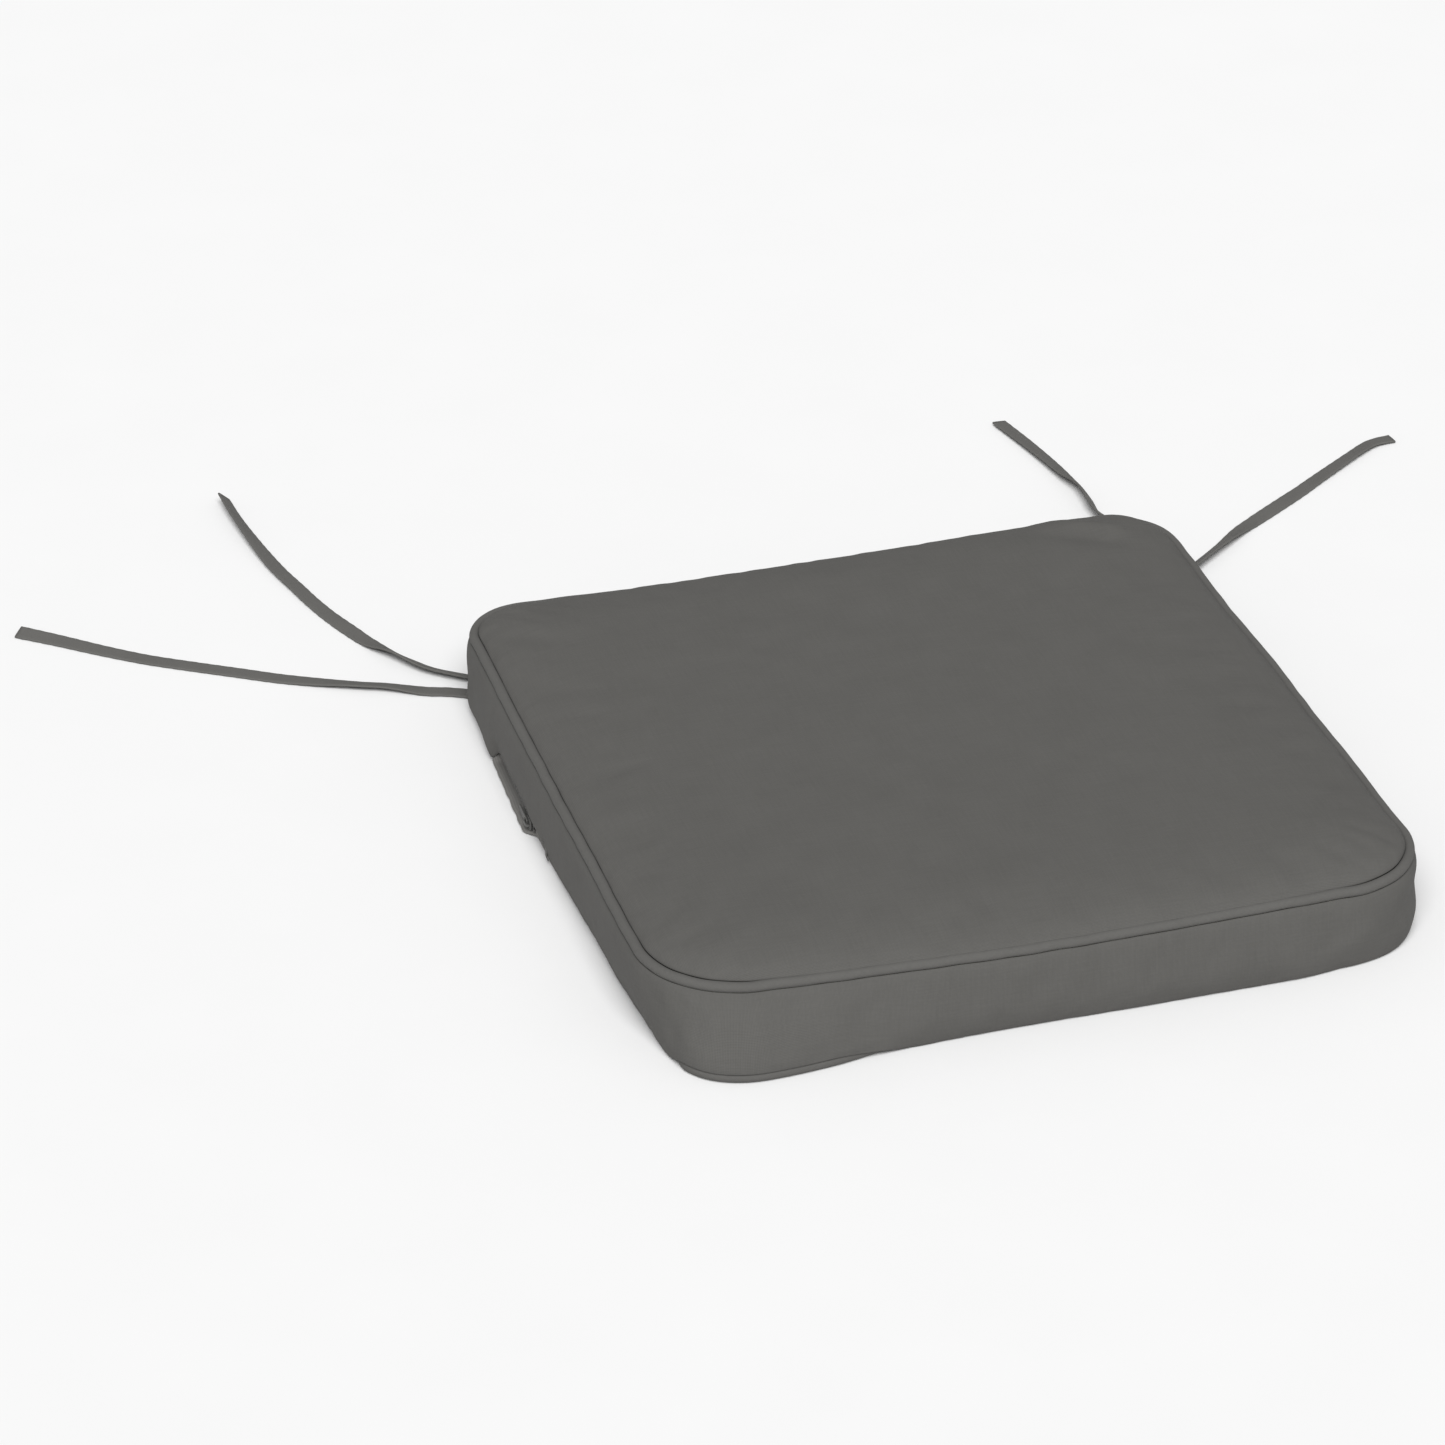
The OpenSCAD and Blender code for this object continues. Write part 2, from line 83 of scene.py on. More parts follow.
FRONT_W = 400.0
BACK_W = 390.0
DEPTH = 402.0
FRONT_R = 49.0
BACK_R = 34.0
FRONT_BOW = 4.6
SIDE_BOW = 0.9
BACK_HOLLOW = 1.5
SEAM_Z = 42.0
PIPING_R = 2.75
TOP_PIPING_R = 2.65
TOP_PIPING_INSET = 2.2
TOP_PIPING_Z = SEAM_Z + 1.6
BOTTOM_INSET = 7.0
FABRIC_T = 0.9
CORE_INSET = 4.6
ZIP_TUCK = 3.0
ZIP_BEND_Y = 36.0
ZIP_TUCK_Y = 116.0
ZIP_END_Y = 10.0
CHAIN_Z = 6.0
TAPE_INSET = -0.65
TAPE_T = 0.5
HEM_Z = 9.3
TIE_W = 9.0
TIE_T = 1.3

SIDE_A = math.atan((FRONT_W - BACK_W) / 2 / DEPTH)
FRONT_Y = -DEPTH / 2 + FRONT_BOW / 2
BACK_Y = DEPTH / 2 + FRONT_BOW / 2
FRONT_CX = FRONT_W / 2 - FRONT_R * (1 + math.sin(SIDE_A)) / math.cos(SIDE_A)
BACK_CX = BACK_W / 2 - BACK_R * (1 - math.sin(SIDE_A)) / math.cos(SIDE_A)


# ---- Lines in plan ----

def unit(vectors):
    return vectors / np.linalg.norm(vectors, axis=-1, keepdims=True)


def run_lengths(points):
    """Distance along a run of points, from 0 at the first."""
    return np.concatenate([[0], np.cumsum(np.linalg.norm(np.diff(points, axis=0), axis=1))])


def between(s, far, points):
    """Points at the distances s along a run of plan points whose distances are far."""
    return np.stack([np.interp(s, far, points[:, k]) for k in (0, 1)], axis=-1)


class Line:
    """A line in plan, with points by the distance along it and normals that point outwards."""

    def __init__(self, points, closed):
        self.closed = closed
        pts = np.array(points, float)
        if closed:
            pts = np.vstack([pts, pts[:1]])
        steps = np.linalg.norm(np.diff(pts, axis=0), axis=1)
        pts = pts[np.concatenate([[True], steps > 1e-6])]
        self.s = run_lengths(pts)
        self.length = self.s[-1]
        self.points = pts
        tangent = np.gradient(pts, self.s, axis=0)
        if closed:
            ends = (pts[1] - pts[0]) / self.s[1] + (pts[-1] - pts[-2]) / (self.s[-1] - self.s[-2])
            tangent[0] = tangent[-1] = ends / 2
        tangent = unit(tangent)
        self.normals = np.column_stack([tangent[:, 1], -tangent[:, 0]])

    def wrap(self, s):
        return np.mod(s, self.length) if self.closed else np.clip(s, 0, self.length)

    def xy(self, s):
        return between(self.wrap(s), self.s, self.points)

    def normal(self, s):
        return unit(between(self.wrap(s), self.s, self.normals))

    def place(self, s, inset, z):
        """Points in space at the distances s, insets and heights, which may be arrays."""
        s, inset, z = np.broadcast_arrays(s, inset, z)
        plan = self.xy(s) - self.normal(s) * inset[..., None]
        return np.concatenate([plan, z[..., None].astype(float)], axis=-1)

    def nearest(self, x, y):
        """Distance along the line of its point nearest to x, y."""
        return self.s[int(np.argmin(np.hypot(self.points[:, 0] - x, self.points[:, 1] - y)))]


def arc(cx, cy, radius, start, end, count=60):
    angles = np.radians(np.linspace(start, end, count))
    return np.column_stack([cx + radius * np.cos(angles), cy + radius * np.sin(angles)])


def edge(start, end, bow, count=240):
    """A side of the outline that bows out by bow at its middle, to the right of its direction."""
    start, end = np.array(start), np.array(end)
    along = unit(end - start)
    t = np.linspace(0, 1, count)[1:-1, None]
    outwards = np.array([along[1], -along[0]])
    return start + (end - start) * t + outwards * bow * np.sin(math.pi * t) ** 1.5


# Corners of the outline as centre, radius and the angles of their arcs, from the front left one
SLANT = math.degrees(SIDE_A)
CORNER_ARCS = [(-FRONT_CX, FRONT_Y + FRONT_R, FRONT_R, 180 - SLANT, 270),
               (FRONT_CX, FRONT_Y + FRONT_R, FRONT_R, 270, 360 + SLANT),
               (BACK_CX, BACK_Y - BACK_R, BACK_R, SLANT, 90),
               (-BACK_CX, BACK_Y - BACK_R, BACK_R, 90, 180 - SLANT)]


def make_outline():
    corners = [arc(*corner) for corner in CORNER_ARCS]
    bows = [FRONT_BOW, SIDE_BOW, -BACK_HOLLOW, SIDE_BOW]
    parts = []
    for i, corner in enumerate(corners):
        parts += [corner, edge(corner[-1], corners[(i + 1) % 4][0], bows[i])]
    return Line(np.vstack(parts), closed=True)


OUTLINE = make_outline()
ROUND = OUTLINE.length


def corner_spot(corner, angle):
    cx, cy, radius = corner[:3]
    a = math.radians(angle)
    return OUTLINE.nearest(cx + radius * math.cos(a), cy + radius * math.sin(a))


# Middles of the four corners, as distances along the outline
CORNERS = [corner_spot(corner, angle) for corner, angle in zip(CORNER_ARCS, (225, 315, 45, 135))]
S_FRONT_LEFT, S_FRONT_RIGHT, S_BACK_RIGHT, S_BACK_LEFT = CORNERS
S_BACK = OUTLINE.nearest(0, BACK_Y)


def side_x(y, inset):
    return FRONT_W / 2 - (y - FRONT_Y) * math.tan(SIDE_A) - inset / math.cos(SIDE_A)


def zip_x(y):
    share = min(1, max(0, (y - ZIP_BEND_Y) / (ZIP_TUCK_Y - ZIP_BEND_Y)))
    return side_x(y, ZIP_TUCK * share)


def make_zip_line():
    """The zip's line at inset 0, from the right side round the back to the left side."""
    side = [(zip_x(y), y) for y in (ZIP_END_Y, ZIP_BEND_Y, ZIP_TUCK_Y)]
    right, left = ((*corner[:2], corner[2] - ZIP_TUCK, *corner[3:]) for corner in CORNER_ARCS[2:])
    return Line([*side, *arc(*right), *arc(*left), *((-x, y) for x, y in reversed(side))],
                closed=False)


# ---- Smooth steps and seeded unevenness ----

def smooth(x):
    x = np.clip(x, 0, 1)
    return x * x * (3 - 2 * x)


def bump(x, centre, reach):
    """1 at centre, falling smoothly to 0 at reach either side of it."""
    return smooth(1 - np.abs(x - centre) / reach)


def round_gap(s, centre):
    """Signed distance along the outline from centre to s, the short way round."""
    return np.mod(s - centre + ROUND / 2, ROUND) - ROUND / 2


def ripple(s, wavelength, seed, terms=5):
    """Gentle unevenness along the outline, about -1 to 1, that joins up with itself."""
    rng = np.random.default_rng(seed)
    total = np.zeros(np.shape(s))
    for _ in range(terms):
        turns = max(1, round(ROUND / wavelength * rng.uniform(0.6, 1.5)))
        phase = rng.uniform(0, 2 * math.pi)
        total = total + np.sin(2 * math.pi * turns * np.asarray(s) / ROUND + phase)
    return total / math.sqrt(terms) / 1.4


def swell(x, y, wavelength, seed, terms=7):
    """Gentle unevenness over a plane, about -1 to 1."""
    rng = np.random.default_rng(seed)
    total = np.zeros(np.broadcast(x, y).shape)
    for _ in range(terms):
        turn, phase = rng.uniform(0, 2 * math.pi, 2)
        k = 2 * math.pi / (wavelength * rng.uniform(0.7, 1.5))
        total = total + np.sin(k * (x * math.cos(turn) + y * math.sin(turn)) + phase)
    return total / math.sqrt(terms) / 1.4


def fold(x, y, spot, angle, length, width, depth):
    """A straight ridge of that height, or a dent where depth is negative, across a plane."""
    a = math.radians(angle)
    along = (x - spot[0]) * math.cos(a) + (y - spot[1]) * math.sin(a)
    across = -(x - spot[0]) * math.sin(a) + (y - spot[1]) * math.cos(a)
    return depth * np.exp(-(across / width) ** 2) * bump(along, 0, length / 2)


def spline(points, places):
    """Smooth curve through control points, at places measured in control points."""
    pts = np.array(points, float)
    padded = np.concatenate([2 * pts[:1] - pts[1:2], pts, 2 * pts[-1:] - pts[-2:-1]])
    i = np.clip(np.floor(places).astype(int), 0, len(pts) - 2)
    t = (places - i).reshape((-1,) + (1,) * (pts.ndim - 1))
    a, b, c, d = (padded[i + k] for k in range(4))
    return 0.5 * (2 * b + (c - a) * t + (2 * a - 5 * b + 4 * c - d) * t ** 2
                  + (3 * b - a - 3 * c + d) * t ** 3)


# ---- Materials ----

class Finish:
    """A procedural material, with short calls to add its nodes."""

    def __init__(self, name, roughness=0.8, metallic=0.0, sheen=0.0, specular=0.5):
        self.material = bpy.data.materials.new(name)
        self.material.use_nodes = True
        self.tree = self.material.node_tree
        self.shader = self.tree.nodes["Principled BSDF"].inputs
        for socket, value in (("Roughness", roughness), ("Metallic", metallic),
                              ("Sheen Weight", sheen), ("Sheen Roughness", 0.5),
                              ("Specular IOR Level", specular)):
            self.shader[socket].default_value = value
        coords = self.tree.nodes.new("ShaderNodeTexCoord").outputs
        self.space, self.uv = coords["Object"], coords["UV"]

    def add(self, kind, inputs, **settings):
        """A new node. inputs are values or other nodes' outputs, by the socket's name or number."""
        node = self.tree.nodes.new("ShaderNode" + kind)
        for setting, value in settings.items():
            setattr(node, setting, value)
        for socket, value in inputs.items():
            if isinstance(value, bpy.types.NodeSocket):
                self.tree.links.new(value, node.inputs[socket])
            else:
                node.inputs[socket].default_value = value
        return node

    def math(self, operation, *values):
        return self.add("Math", dict(enumerate(values)), operation=operation).outputs[0]

    def sine(self, value, half_wave):
        return self.math("SINE", self.math("MULTIPLY", value, math.pi / half_wave))

    def total(self, base, *parts):
        """base plus each of the parts times its share."""
        for value, share in parts:
            base = self.math("MULTIPLY_ADD", value, share, base)
        return base

    def split(self, vector):
        return self.add("SeparateXYZ", {0: vector}).outputs

    def scaled(self, vector, scale, turn=0.0):
        rotation = (0, 0, math.radians(turn))
        return self.add("Mapping", {"Vector": vector, "Scale": scale,
                                    "Rotation": rotation}).outputs[0]

    def noise(self, vector, scale, detail=2.0, roughness=0.5):
        return self.add("TexNoise", {"Vector": vector, "Scale": scale, "Detail": detail,
                                     "Roughness": roughness}).outputs["Fac"]

    def colour(self, amount, dark, light):
        """Base colour, from dark to light by amount."""
        node = self.add("Mix", {}, data_type="RGBA")
        self.tree.links.new(amount, node.inputs[0])
        first, second = (s for s in node.inputs if s.type == "RGBA")
        first.default_value, second.default_value = (*dark, 1), (*light, 1)
        result = next(s for s in node.outputs if s.type == "RGBA")
        self.tree.links.new(result, self.shader["Base Color"])

    def look(self, amount, dark, light, uneven, low, high):
        """Colour from dark to light by amount, and roughness from low to high by uneven."""
        self.colour(amount, dark, light)
        ranged = self.add("MapRange", {"Value": uneven, "To Min": low, "To Max": high})
        self.tree.links.new(ranged.outputs[0], self.shader["Roughness"])

    def relief(self, height, depth, strength=0.8):
        """Bump of that depth in metres, on top of any relief given before."""
        inputs = {"Strength": strength, "Distance": depth, "Height": height}
        socket = self.shader["Normal"]
        if socket.links:
            inputs["Normal"] = socket.links[0].from_socket
        self.tree.links.new(self.add("Bump", inputs).outputs[0], socket)
        return self.material


def weave(finish, u, v, pitch):
    """Height of a plain weave, 0 to 1, with threads pitch apart, from coordinates in metres."""
    a, b = finish.sine(u, pitch), finish.sine(v, pitch)
    over = finish.math("MULTIPLY_ADD", finish.math("MULTIPLY", a, b), 0.5, 0.5)
    under = finish.math("SUBTRACT", 1.0, over)
    warp = finish.math("MULTIPLY", finish.math("ABSOLUTE", a), over)
    weft = finish.math("MULTIPLY", finish.math("ABSOLUTE", b), under)
    return finish.math("MAXIMUM", warp, weft)


def woven(name, dark, light, pitch=0.62e-3, turn=0.0):
    """Plain-woven cover cloth. Its UV map is in metres."""
    finish = Finish(name, roughness=0.88, sheen=0.02, specular=0.12)
    uv = finish.scaled(finish.uv, (1, 1, 1), turn)
    parts = finish.split(uv)
    height = weave(finish, parts[0], parts[1], pitch)
    slubs = finish.math("ADD", *(finish.noise(finish.scaled(uv, scale), 0.7 / pitch, 1.0)
                                 for scale in ((1.0, 0.05, 1), (0.05, 1.0, 1))))
    mottle = finish.noise(finish.space, 38.0, 3.0)
    fuzz = finish.noise(finish.space, 900.0, 2.0, 0.6)
    # The colour is darker in the gaps between the threads, as painted shade; slubs, mottle and fuzz
    # are the cloth's own uneven tone.
    amount = finish.total(0.18, (height, 0.45), (slubs, 0.14), (mottle, 0.16), (fuzz, 0.14))
    finish.look(amount, dark, light, fuzz, 0.8, 0.95)
    finish.relief(mottle, 0.25e-3, 0.5)
    return finish.relief(finish.total(height, (slubs, 0.25)), 0.06e-3)


def tape_cloth():
    """Twill tape: ribs that lean one way on one half and the other way on the other."""
    finish = Finish("tie_cloth", roughness=0.86, sheen=0.02, specular=0.12)
    parts = finish.split(finish.uv)
    lean = finish.math("PINGPONG", parts[1], TIE_W * MM / 2)
    ribs = finish.sine(finish.total(parts[0], (lean, 0.8)), 0.575e-3)
    threads = finish.sine(parts[1], 0.25e-3)
    height = finish.total(finish.math("MULTIPLY", finish.math("ABSOLUTE", threads), 0.25),
                          (finish.math("ABSOLUTE", ribs), 0.75))
    fuzz = finish.noise(finish.space, 1100.0, 2.0, 0.6)
    mottle = finish.noise(finish.space, 60.0, 2.0)
    # The colour is darker in the valleys between the ribs and threads, as painted shade; fuzz and
    # mottle are the tape's own uneven tone.
    finish.look(finish.total(0.1, (height, 0.55), (fuzz, 0.3), (mottle, 0.2)),
                (0.06, 0.0587, 0.0555), (0.162, 0.159, 0.151), fuzz, 0.78, 0.94)
    return finish.relief(height, 0.1e-3)


def foam_finish():
    finish = Finish("foam", roughness=0.9, specular=0.3)
    pores = finish.add("TexVoronoi", {"Vector": finish.space, "Scale": 620.0}).outputs["Distance"]
    fine = finish.noise(finish.space, 1500.0, 3.0)
    # The colour is darker in the pores, as painted shade.
    finish.look(finish.total(0.1, (pores, 1.1)), (0.52, 0.46, 0.32), (0.86, 0.81, 0.66),
                fine, 0.8, 1.0)
    return finish.relief(finish.total(pores, (fine, 0.3)), 0.5e-3)


def wadding_finish():
    """Matted fibres."""
    finish = Finish("wadding_fibre", roughness=0.95, sheen=0.4, specular=0.2)
    streaks = finish.noise(finish.scaled(finish.space, (1, 0.15, 1), 25), 260.0, 4.0, 0.7)
    crossed = finish.noise(finish.scaled(finish.space, (0.15, 1, 1), -20), 260.0, 4.0, 0.7)
    mat = finish.math("MULTIPLY", streaks, crossed)
    finish.look(finish.math("MULTIPLY", mat, 2.4), (0.55, 0.55, 0.54), (0.9, 0.9, 0.88),
                streaks, 0.85, 1.0)
    return finish.relief(mat, 0.9e-3)


def twisted(name, dark, light, strands, depth, roughness):
    """Twisted cord or thread. Its UV map runs along and round it, in metres."""
    finish = Finish(name, roughness=roughness, sheen=0.2, specular=0.3)
    parts = finish.split(finish.uv)
    lay = finish.sine(finish.total(parts[0], (parts[1], 1.3)), strands)
    fibres = finish.noise(finish.space, 2400.0, 2.0, 0.6)
    height = finish.total(finish.math("ABSOLUTE", lay), (fibres, 0.3))
    # The colour is darker in the grooves between the strands, as painted shade; the fibres give its
    # own uneven tone.
    finish.look(height, dark, light, fibres, roughness - 0.1, roughness + 0.1)
    return finish.relief(height, depth)


def nylon_finish():
    finish = Finish("coil_nylon", roughness=0.42, specular=0.5)
    drawn = finish.noise(finish.scaled(finish.space, (1, 1, 0.2)), 900.0, 2.0)
    finish.look(drawn, (0.085, 0.084, 0.08), (0.15, 0.149, 0.143), drawn, 0.34, 0.55)
    return finish.relief(drawn, 0.05e-3, 0.5)


def metal_finish():
    """Painted die-cast metal with the paint rubbed a little along it."""
    finish = Finish("zip_enamel", roughness=0.5, metallic=0.2, specular=0.35)
    mottle = finish.noise(finish.space, 420.0, 4.0, 0.6)
    rubbed = finish.noise(finish.scaled(finish.space, (1, 0.12, 1)), 1600.0, 2.0)
    amount = finish.total(finish.math("MULTIPLY", mottle, 0.5), (rubbed, 0.5))
    finish.look(amount, (0.07, 0.069, 0.066), (0.15, 0.148, 0.142), amount, 0.42, 0.62)
    return finish.relief(amount, 0.04e-3, 0.6)


COVER = woven("cover_cloth", (0.049, 0.0478, 0.045), (0.1326, 0.1299, 0.1231))
PIPING = woven("piping_cloth", (0.0521, 0.0509, 0.0481), (0.1405, 0.1378, 0.131), turn=45.0)
TAPE = tape_cloth()
# The zip tape's cloth is lighter than the cover cloth, as painted light that makes up for the shade
# the band's hem casts on it.
ZIP_CLOTH_PAINTED_LIGHT = woven("zip_tape_cloth_painted_light", (0.083, 0.081, 0.077), (0.215, 0.21, 0.2), pitch=0.45e-3)
FOAM = foam_finish()
WADDING = wadding_finish()
CORD = twisted("cord_fibre", (0.4, 0.39, 0.36), (0.8, 0.79, 0.75), 1.8e-3, 0.5e-3, 0.8)
THREAD = twisted("thread", (0.05, 0.049, 0.046), (0.13, 0.127, 0.121), 0.3e-3, 0.08e-3, 0.6)
NYLON = nylon_finish()
METAL = metal_finish()


# ---- Meshes ----

def make_object(name, points, faces, uvs, material, smooth_faces=True):
    """An object from points in millimetres, faces, and one UV in metres for each face corner."""
    mesh = bpy.data.meshes.new(name)
    mesh.from_pydata((np.asarray(points).reshape(-1, 3) * MM).tolist(), [], faces)
    if uvs is not None:
        layer = mesh.uv_layers.new(name="weave")
        layer.data.foreach_set("uv", np.asarray(uvs, np.float32).ravel())
    mesh.materials.append(material)
    if smooth_faces:
        mesh.shade_smooth()
    obj = bpy.data.objects.new(name, mesh)
    bpy.context.scene.collection.objects.link(obj)
    return obj


def grid_faces(rows, cols, close_rows, close_cols, first=0):
    """Quads of a grid of points and, for each corner, its row and column before wrapping."""
    i, j = np.meshgrid(np.arange(rows - (not close_rows)), np.arange(cols - (not close_cols)),
                       indexing="ij")
    i, j = i.ravel(), j.ravel()
    corner_i = np.stack([i, i + 1, i + 1, i], axis=1)
    corner_j = np.stack([j, j, j + 1, j + 1], axis=1)
    faces = first + (corner_i % rows) * cols + corner_j % cols
    return faces, corner_i, corner_j


def skin(name, points, u, v, material, close_rows=False, close_cols=False, caps=False):
    """A surface through a grid of points [row, column]. u goes with rows, v with columns, in mm."""
    rows, cols = points.shape[:2]
    faces, ci, cj = grid_faces(rows, cols, close_rows, close_cols)
    uvs = np.stack([np.asarray(u)[ci], np.asarray(v)[cj]], axis=-1) * MM
    face_list = faces.tolist()
    uv_list = uvs.reshape(-1, 2)
    for row, way in ((0, 1), (rows - 1, -1)) if caps else ():
        ring = list(range(row * cols, row * cols + cols))
        flat = np.stack([np.full(cols, u[row]), np.asarray(v)[:cols]], axis=-1) * MM
        face_list.append(ring[::-way])
        uv_list = np.vstack([uv_list, flat[::-way]])
    return make_object(name, points, face_list, uv_list, material)


def upright(obj):
    """Turns the faces of a closed mesh outwards."""
    work = bmesh.new()
    work.from_mesh(obj.data)
    bmesh.ops.recalc_face_normals(work, faces=work.faces)
    work.to_mesh(obj.data)
    work.free()
    return obj


def thicken(obj, levels=1):
    """Gives a sheet the fabric's thickness, to the inside of its faces, and rounds it off."""
    solid = obj.modifiers.new("thickness", "SOLIDIFY")
    solid.thickness = FABRIC_T * MM
    solid.offset = -1
    solid.use_even_offset = False
    if levels:
        rounding = obj.modifiers.new("rounding", "SUBSURF")
        rounding.levels = rounding.render_levels = levels
        rounding.uv_smooth = "PRESERVE_BOUNDARIES"
    deps = bpy.context.evaluated_depsgraph_get()
    mesh = bpy.data.meshes.new_from_object(obj.evaluated_get(deps))
    obj.modifiers.clear()
    obj.data = mesh
    mesh.name = obj.name
    return obj


def piece(obj, slot, *nodes, body="cushion"):
    """Rides on its body and stands for the CAD nodes, which it hides. slot is not used."""
    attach(obj, body)
    if nodes:
        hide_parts(*nodes)
    return obj


def coords_of(mesh):
    co = np.empty(len(mesh.vertices) * 3, np.float32)
    mesh.vertices.foreach_get("co", co)
    return co.reshape(-1, 3).astype(float)


SETTLE_FRAMES = 20
CLOTH = {"quality": 6, "mass": 0.12, "tension_stiffness": 30, "compression_stiffness": 30,
         "shear_stiffness": 12, "bending_stiffness": 0.35, "pin_stiffness": 1.0,
         "use_pressure": True, "uniform_pressure_force": 3.0}


def settle(obj, hold, slack, cap):
    """Cloth simulation with no gravity: the piece has slack to spare and finds its own folds.

    hold is 1 for a point that is sewn down, and small where only the filling holds it."""
    rest = coords_of(obj.data)
    group = obj.vertex_groups.new(name="hold")
    levels = np.round(np.asarray(hold), 3)
    for level in np.unique(levels):
        group.add(np.flatnonzero(levels == level).tolist(), float(level), "REPLACE")
    cloth = obj.modifiers.new("cloth", "CLOTH")
    for setting, value in CLOTH.items():
        setattr(cloth.settings, setting, value)
    cloth.settings.effector_weights.gravity = 0
    cloth.settings.vertex_group_mass = group.name
    cloth.settings.shrink_min = -slack
    cloth.point_cache.frame_start = 1
    cloth.point_cache.frame_end = SETTLE_FRAMES
    scene = bpy.context.scene
    for number in range(1, SETTLE_FRAMES + 1):
        scene.frame_set(number)
    deps = bpy.context.evaluated_depsgraph_get()
    moved = coords_of(obj.evaluated_get(deps).data)
    obj.modifiers.clear()
    obj.vertex_groups.clear()
    scene.frame_set(1)
    shift = moved - rest
    far = np.linalg.norm(shift, axis=1, keepdims=True)
    limit = cap * MM
    shift *= limit * np.tanh(far / limit) / np.maximum(far, 1e-9)
    shift[levels >= 1] = 0
    obj.data.vertices.foreach_set("co", (rest + shift).astype(np.float32).ravel())
    obj.data.update()
    return obj


# ---- Ties ----

TIE_TAIL = 2.0
# Side, the angle at which it leaves its corner, route in plan from there, outwards and back, and
# how far it leans, in degrees by share of its length; above 0 its near edge is lifted
TIES = {
    "tie_left_side": (
        -1, 33, [(0, 0), (6, 5), (16, 10), (27, 14), (46, 24), (58, 29), (78, 39), (98, 50),
                 (117, 62), (136, 74), (150, 83), (163, 92), (182, 107), (201, 123), (220, 138)],
        [(0, 2), (0.12, 2), (0.19, 14), (0.27, 15), (0.34, 6), (0.42, 0), (0.6, -1), (0.75, -2),
         (0.9, -8), (1, -14)]),
    "tie_left_back": (
        -1, 57, [(0, 0), (4, 6), (12, 12), (27, 24), (36, 36), (44, 49), (52, 66), (61, 89),
                 (69, 115), (74, 136), (79, 157), (83, 181), (86, 205), (88, 226), (89, 246)],
        [(0, 22), (0.06, 22), (0.12, 25), (0.18, 29), (0.24, 36), (0.31, 6), (0.38, -4),
         (0.53, 5), (0.7, 12), (0.78, 23), (0.88, 35), (1, 42)]),
    "tie_right_back": (
        1, 57, [(0, 0), (4, 8), (11, 17), (18, 28), (22, 42), (22, 57), (19, 71), (15, 83),
                (14, 94), (15, 106), (15, 120), (13, 134), (10, 156), (5, 184), (-1, 212)],
        [(0, 40), (0.4, 50), (0.52, 52), (0.57, 53), (0.61, 42), (0.66, 28), (0.7, 22),
         (0.8, 16), (0.92, 10), (1, 8)]),
    "tie_right_side": (
        1, 33, [(0, 0), (8, 4), (17, 9), (28, 18), (40, 28), (58, 43), (77, 60), (97, 74),
                (117, 88), (136, 102), (154, 115), (168, 125), (181, 134), (189, 137), (197, 138)],
        [(0, 36), (0.26, 36), (0.33, 28), (0.4, 9), (0.47, -2), (0.6, -3), (0.66, 1), (0.72, 6),
         (0.8, 10), (0.86, 13), (0.92, 10), (1, 2)]),
}
RING_GAP = 2.2
SELVEDGE_PITCH = 1.3
SELVEDGE_DEPTH = 0.12


def tie_path(route, angle, side):
    """Centre points of a tie in plan, a ring's gap apart, starting under the piping."""
    way = np.array([math.cos(math.radians(angle)), math.sin(math.radians(angle))])
    root = [BACK_CX, BACK_Y - BACK_R] + (BACK_R - BOTTOM_INSET + PIPING_R + 1) * way
    points = np.vstack([-TIE_TAIL * way, route])
    dense = spline(points, np.linspace(0, len(points) - 1, 40 * len(points)))
    far = run_lengths(dense)
    s = np.linspace(0, far[-1], round(far[-1] / RING_GAP) + 1)
    return (root + between(s, far, dense)) * [side, 1], s


def tape_section():
    """Half a tape's rounded section as shares of its half width and half thickness."""
    top = [(x, 1 - 0.12 * x * x) for x in (-0.86, -0.5, 0, 0.5, 0.86)]
    return np.array(top + [(0.97, 0.62), (1, 0), (0.97, -0.62)] + [(-x, -y) for x, y in top]
                    + [(-0.97, -0.62), (-1, 0), (-0.97, 0.62)])


def make_tie(node, side, angle, route, lean):
    """A tie. Gives its centre, directions across it and tangents."""
    plan, s = tie_path(route, angle, side)
    tangent = unit(np.gradient(plan, s, axis=0))
    beside = np.column_stack([-tangent[:, 1], tangent[:, 0]])
    knots = np.array(lean, float)
    places = np.interp(s / s[-1], knots[:, 0], np.arange(len(knots)))
    # The near edge is the left one of a tape that runs to the viewer's left, else the right one
    turn = math.radians(CAMERA_TURN_DEG)
    towards = (tangent @ [math.cos(turn), math.sin(turn)]).mean()
    roll = np.radians(spline(knots[:, 1], places)) * -np.sign(towards)
    half_w = TIE_W / 2 + SELVEDGE_DEPTH * np.cos(2 * math.pi * s / SELVEDGE_PITCH)
    rise = TIE_W / 2 * np.abs(np.sin(roll)) + TIE_T / 2 * np.cos(roll) + 0.1
    across = np.column_stack([beside * np.cos(roll)[:, None], np.sin(roll)])
    face = np.column_stack([-beside * np.sin(roll)[:, None], np.cos(roll)])
    centre = np.column_stack([plan, rise])
    section = tape_section()
    points = (centre[:, None] + across[:, None] * section[:, :1] * half_w[:, None, None]
              + face[:, None] * section[:, 1:] * TIE_T / 2)
    around = np.append(section[:, 0], section[0, 0]) * TIE_W / 2
    obj = upright(skin(node + "_tape", points, s, around, TAPE, close_cols=True, caps=True))
    piece(obj, "tie_tape", node)
    return centre, across, tangent


TIE_FACTS = {node: make_tie(node, *facts) for node, facts in TIES.items()}


# ---- Seams of the cover ----

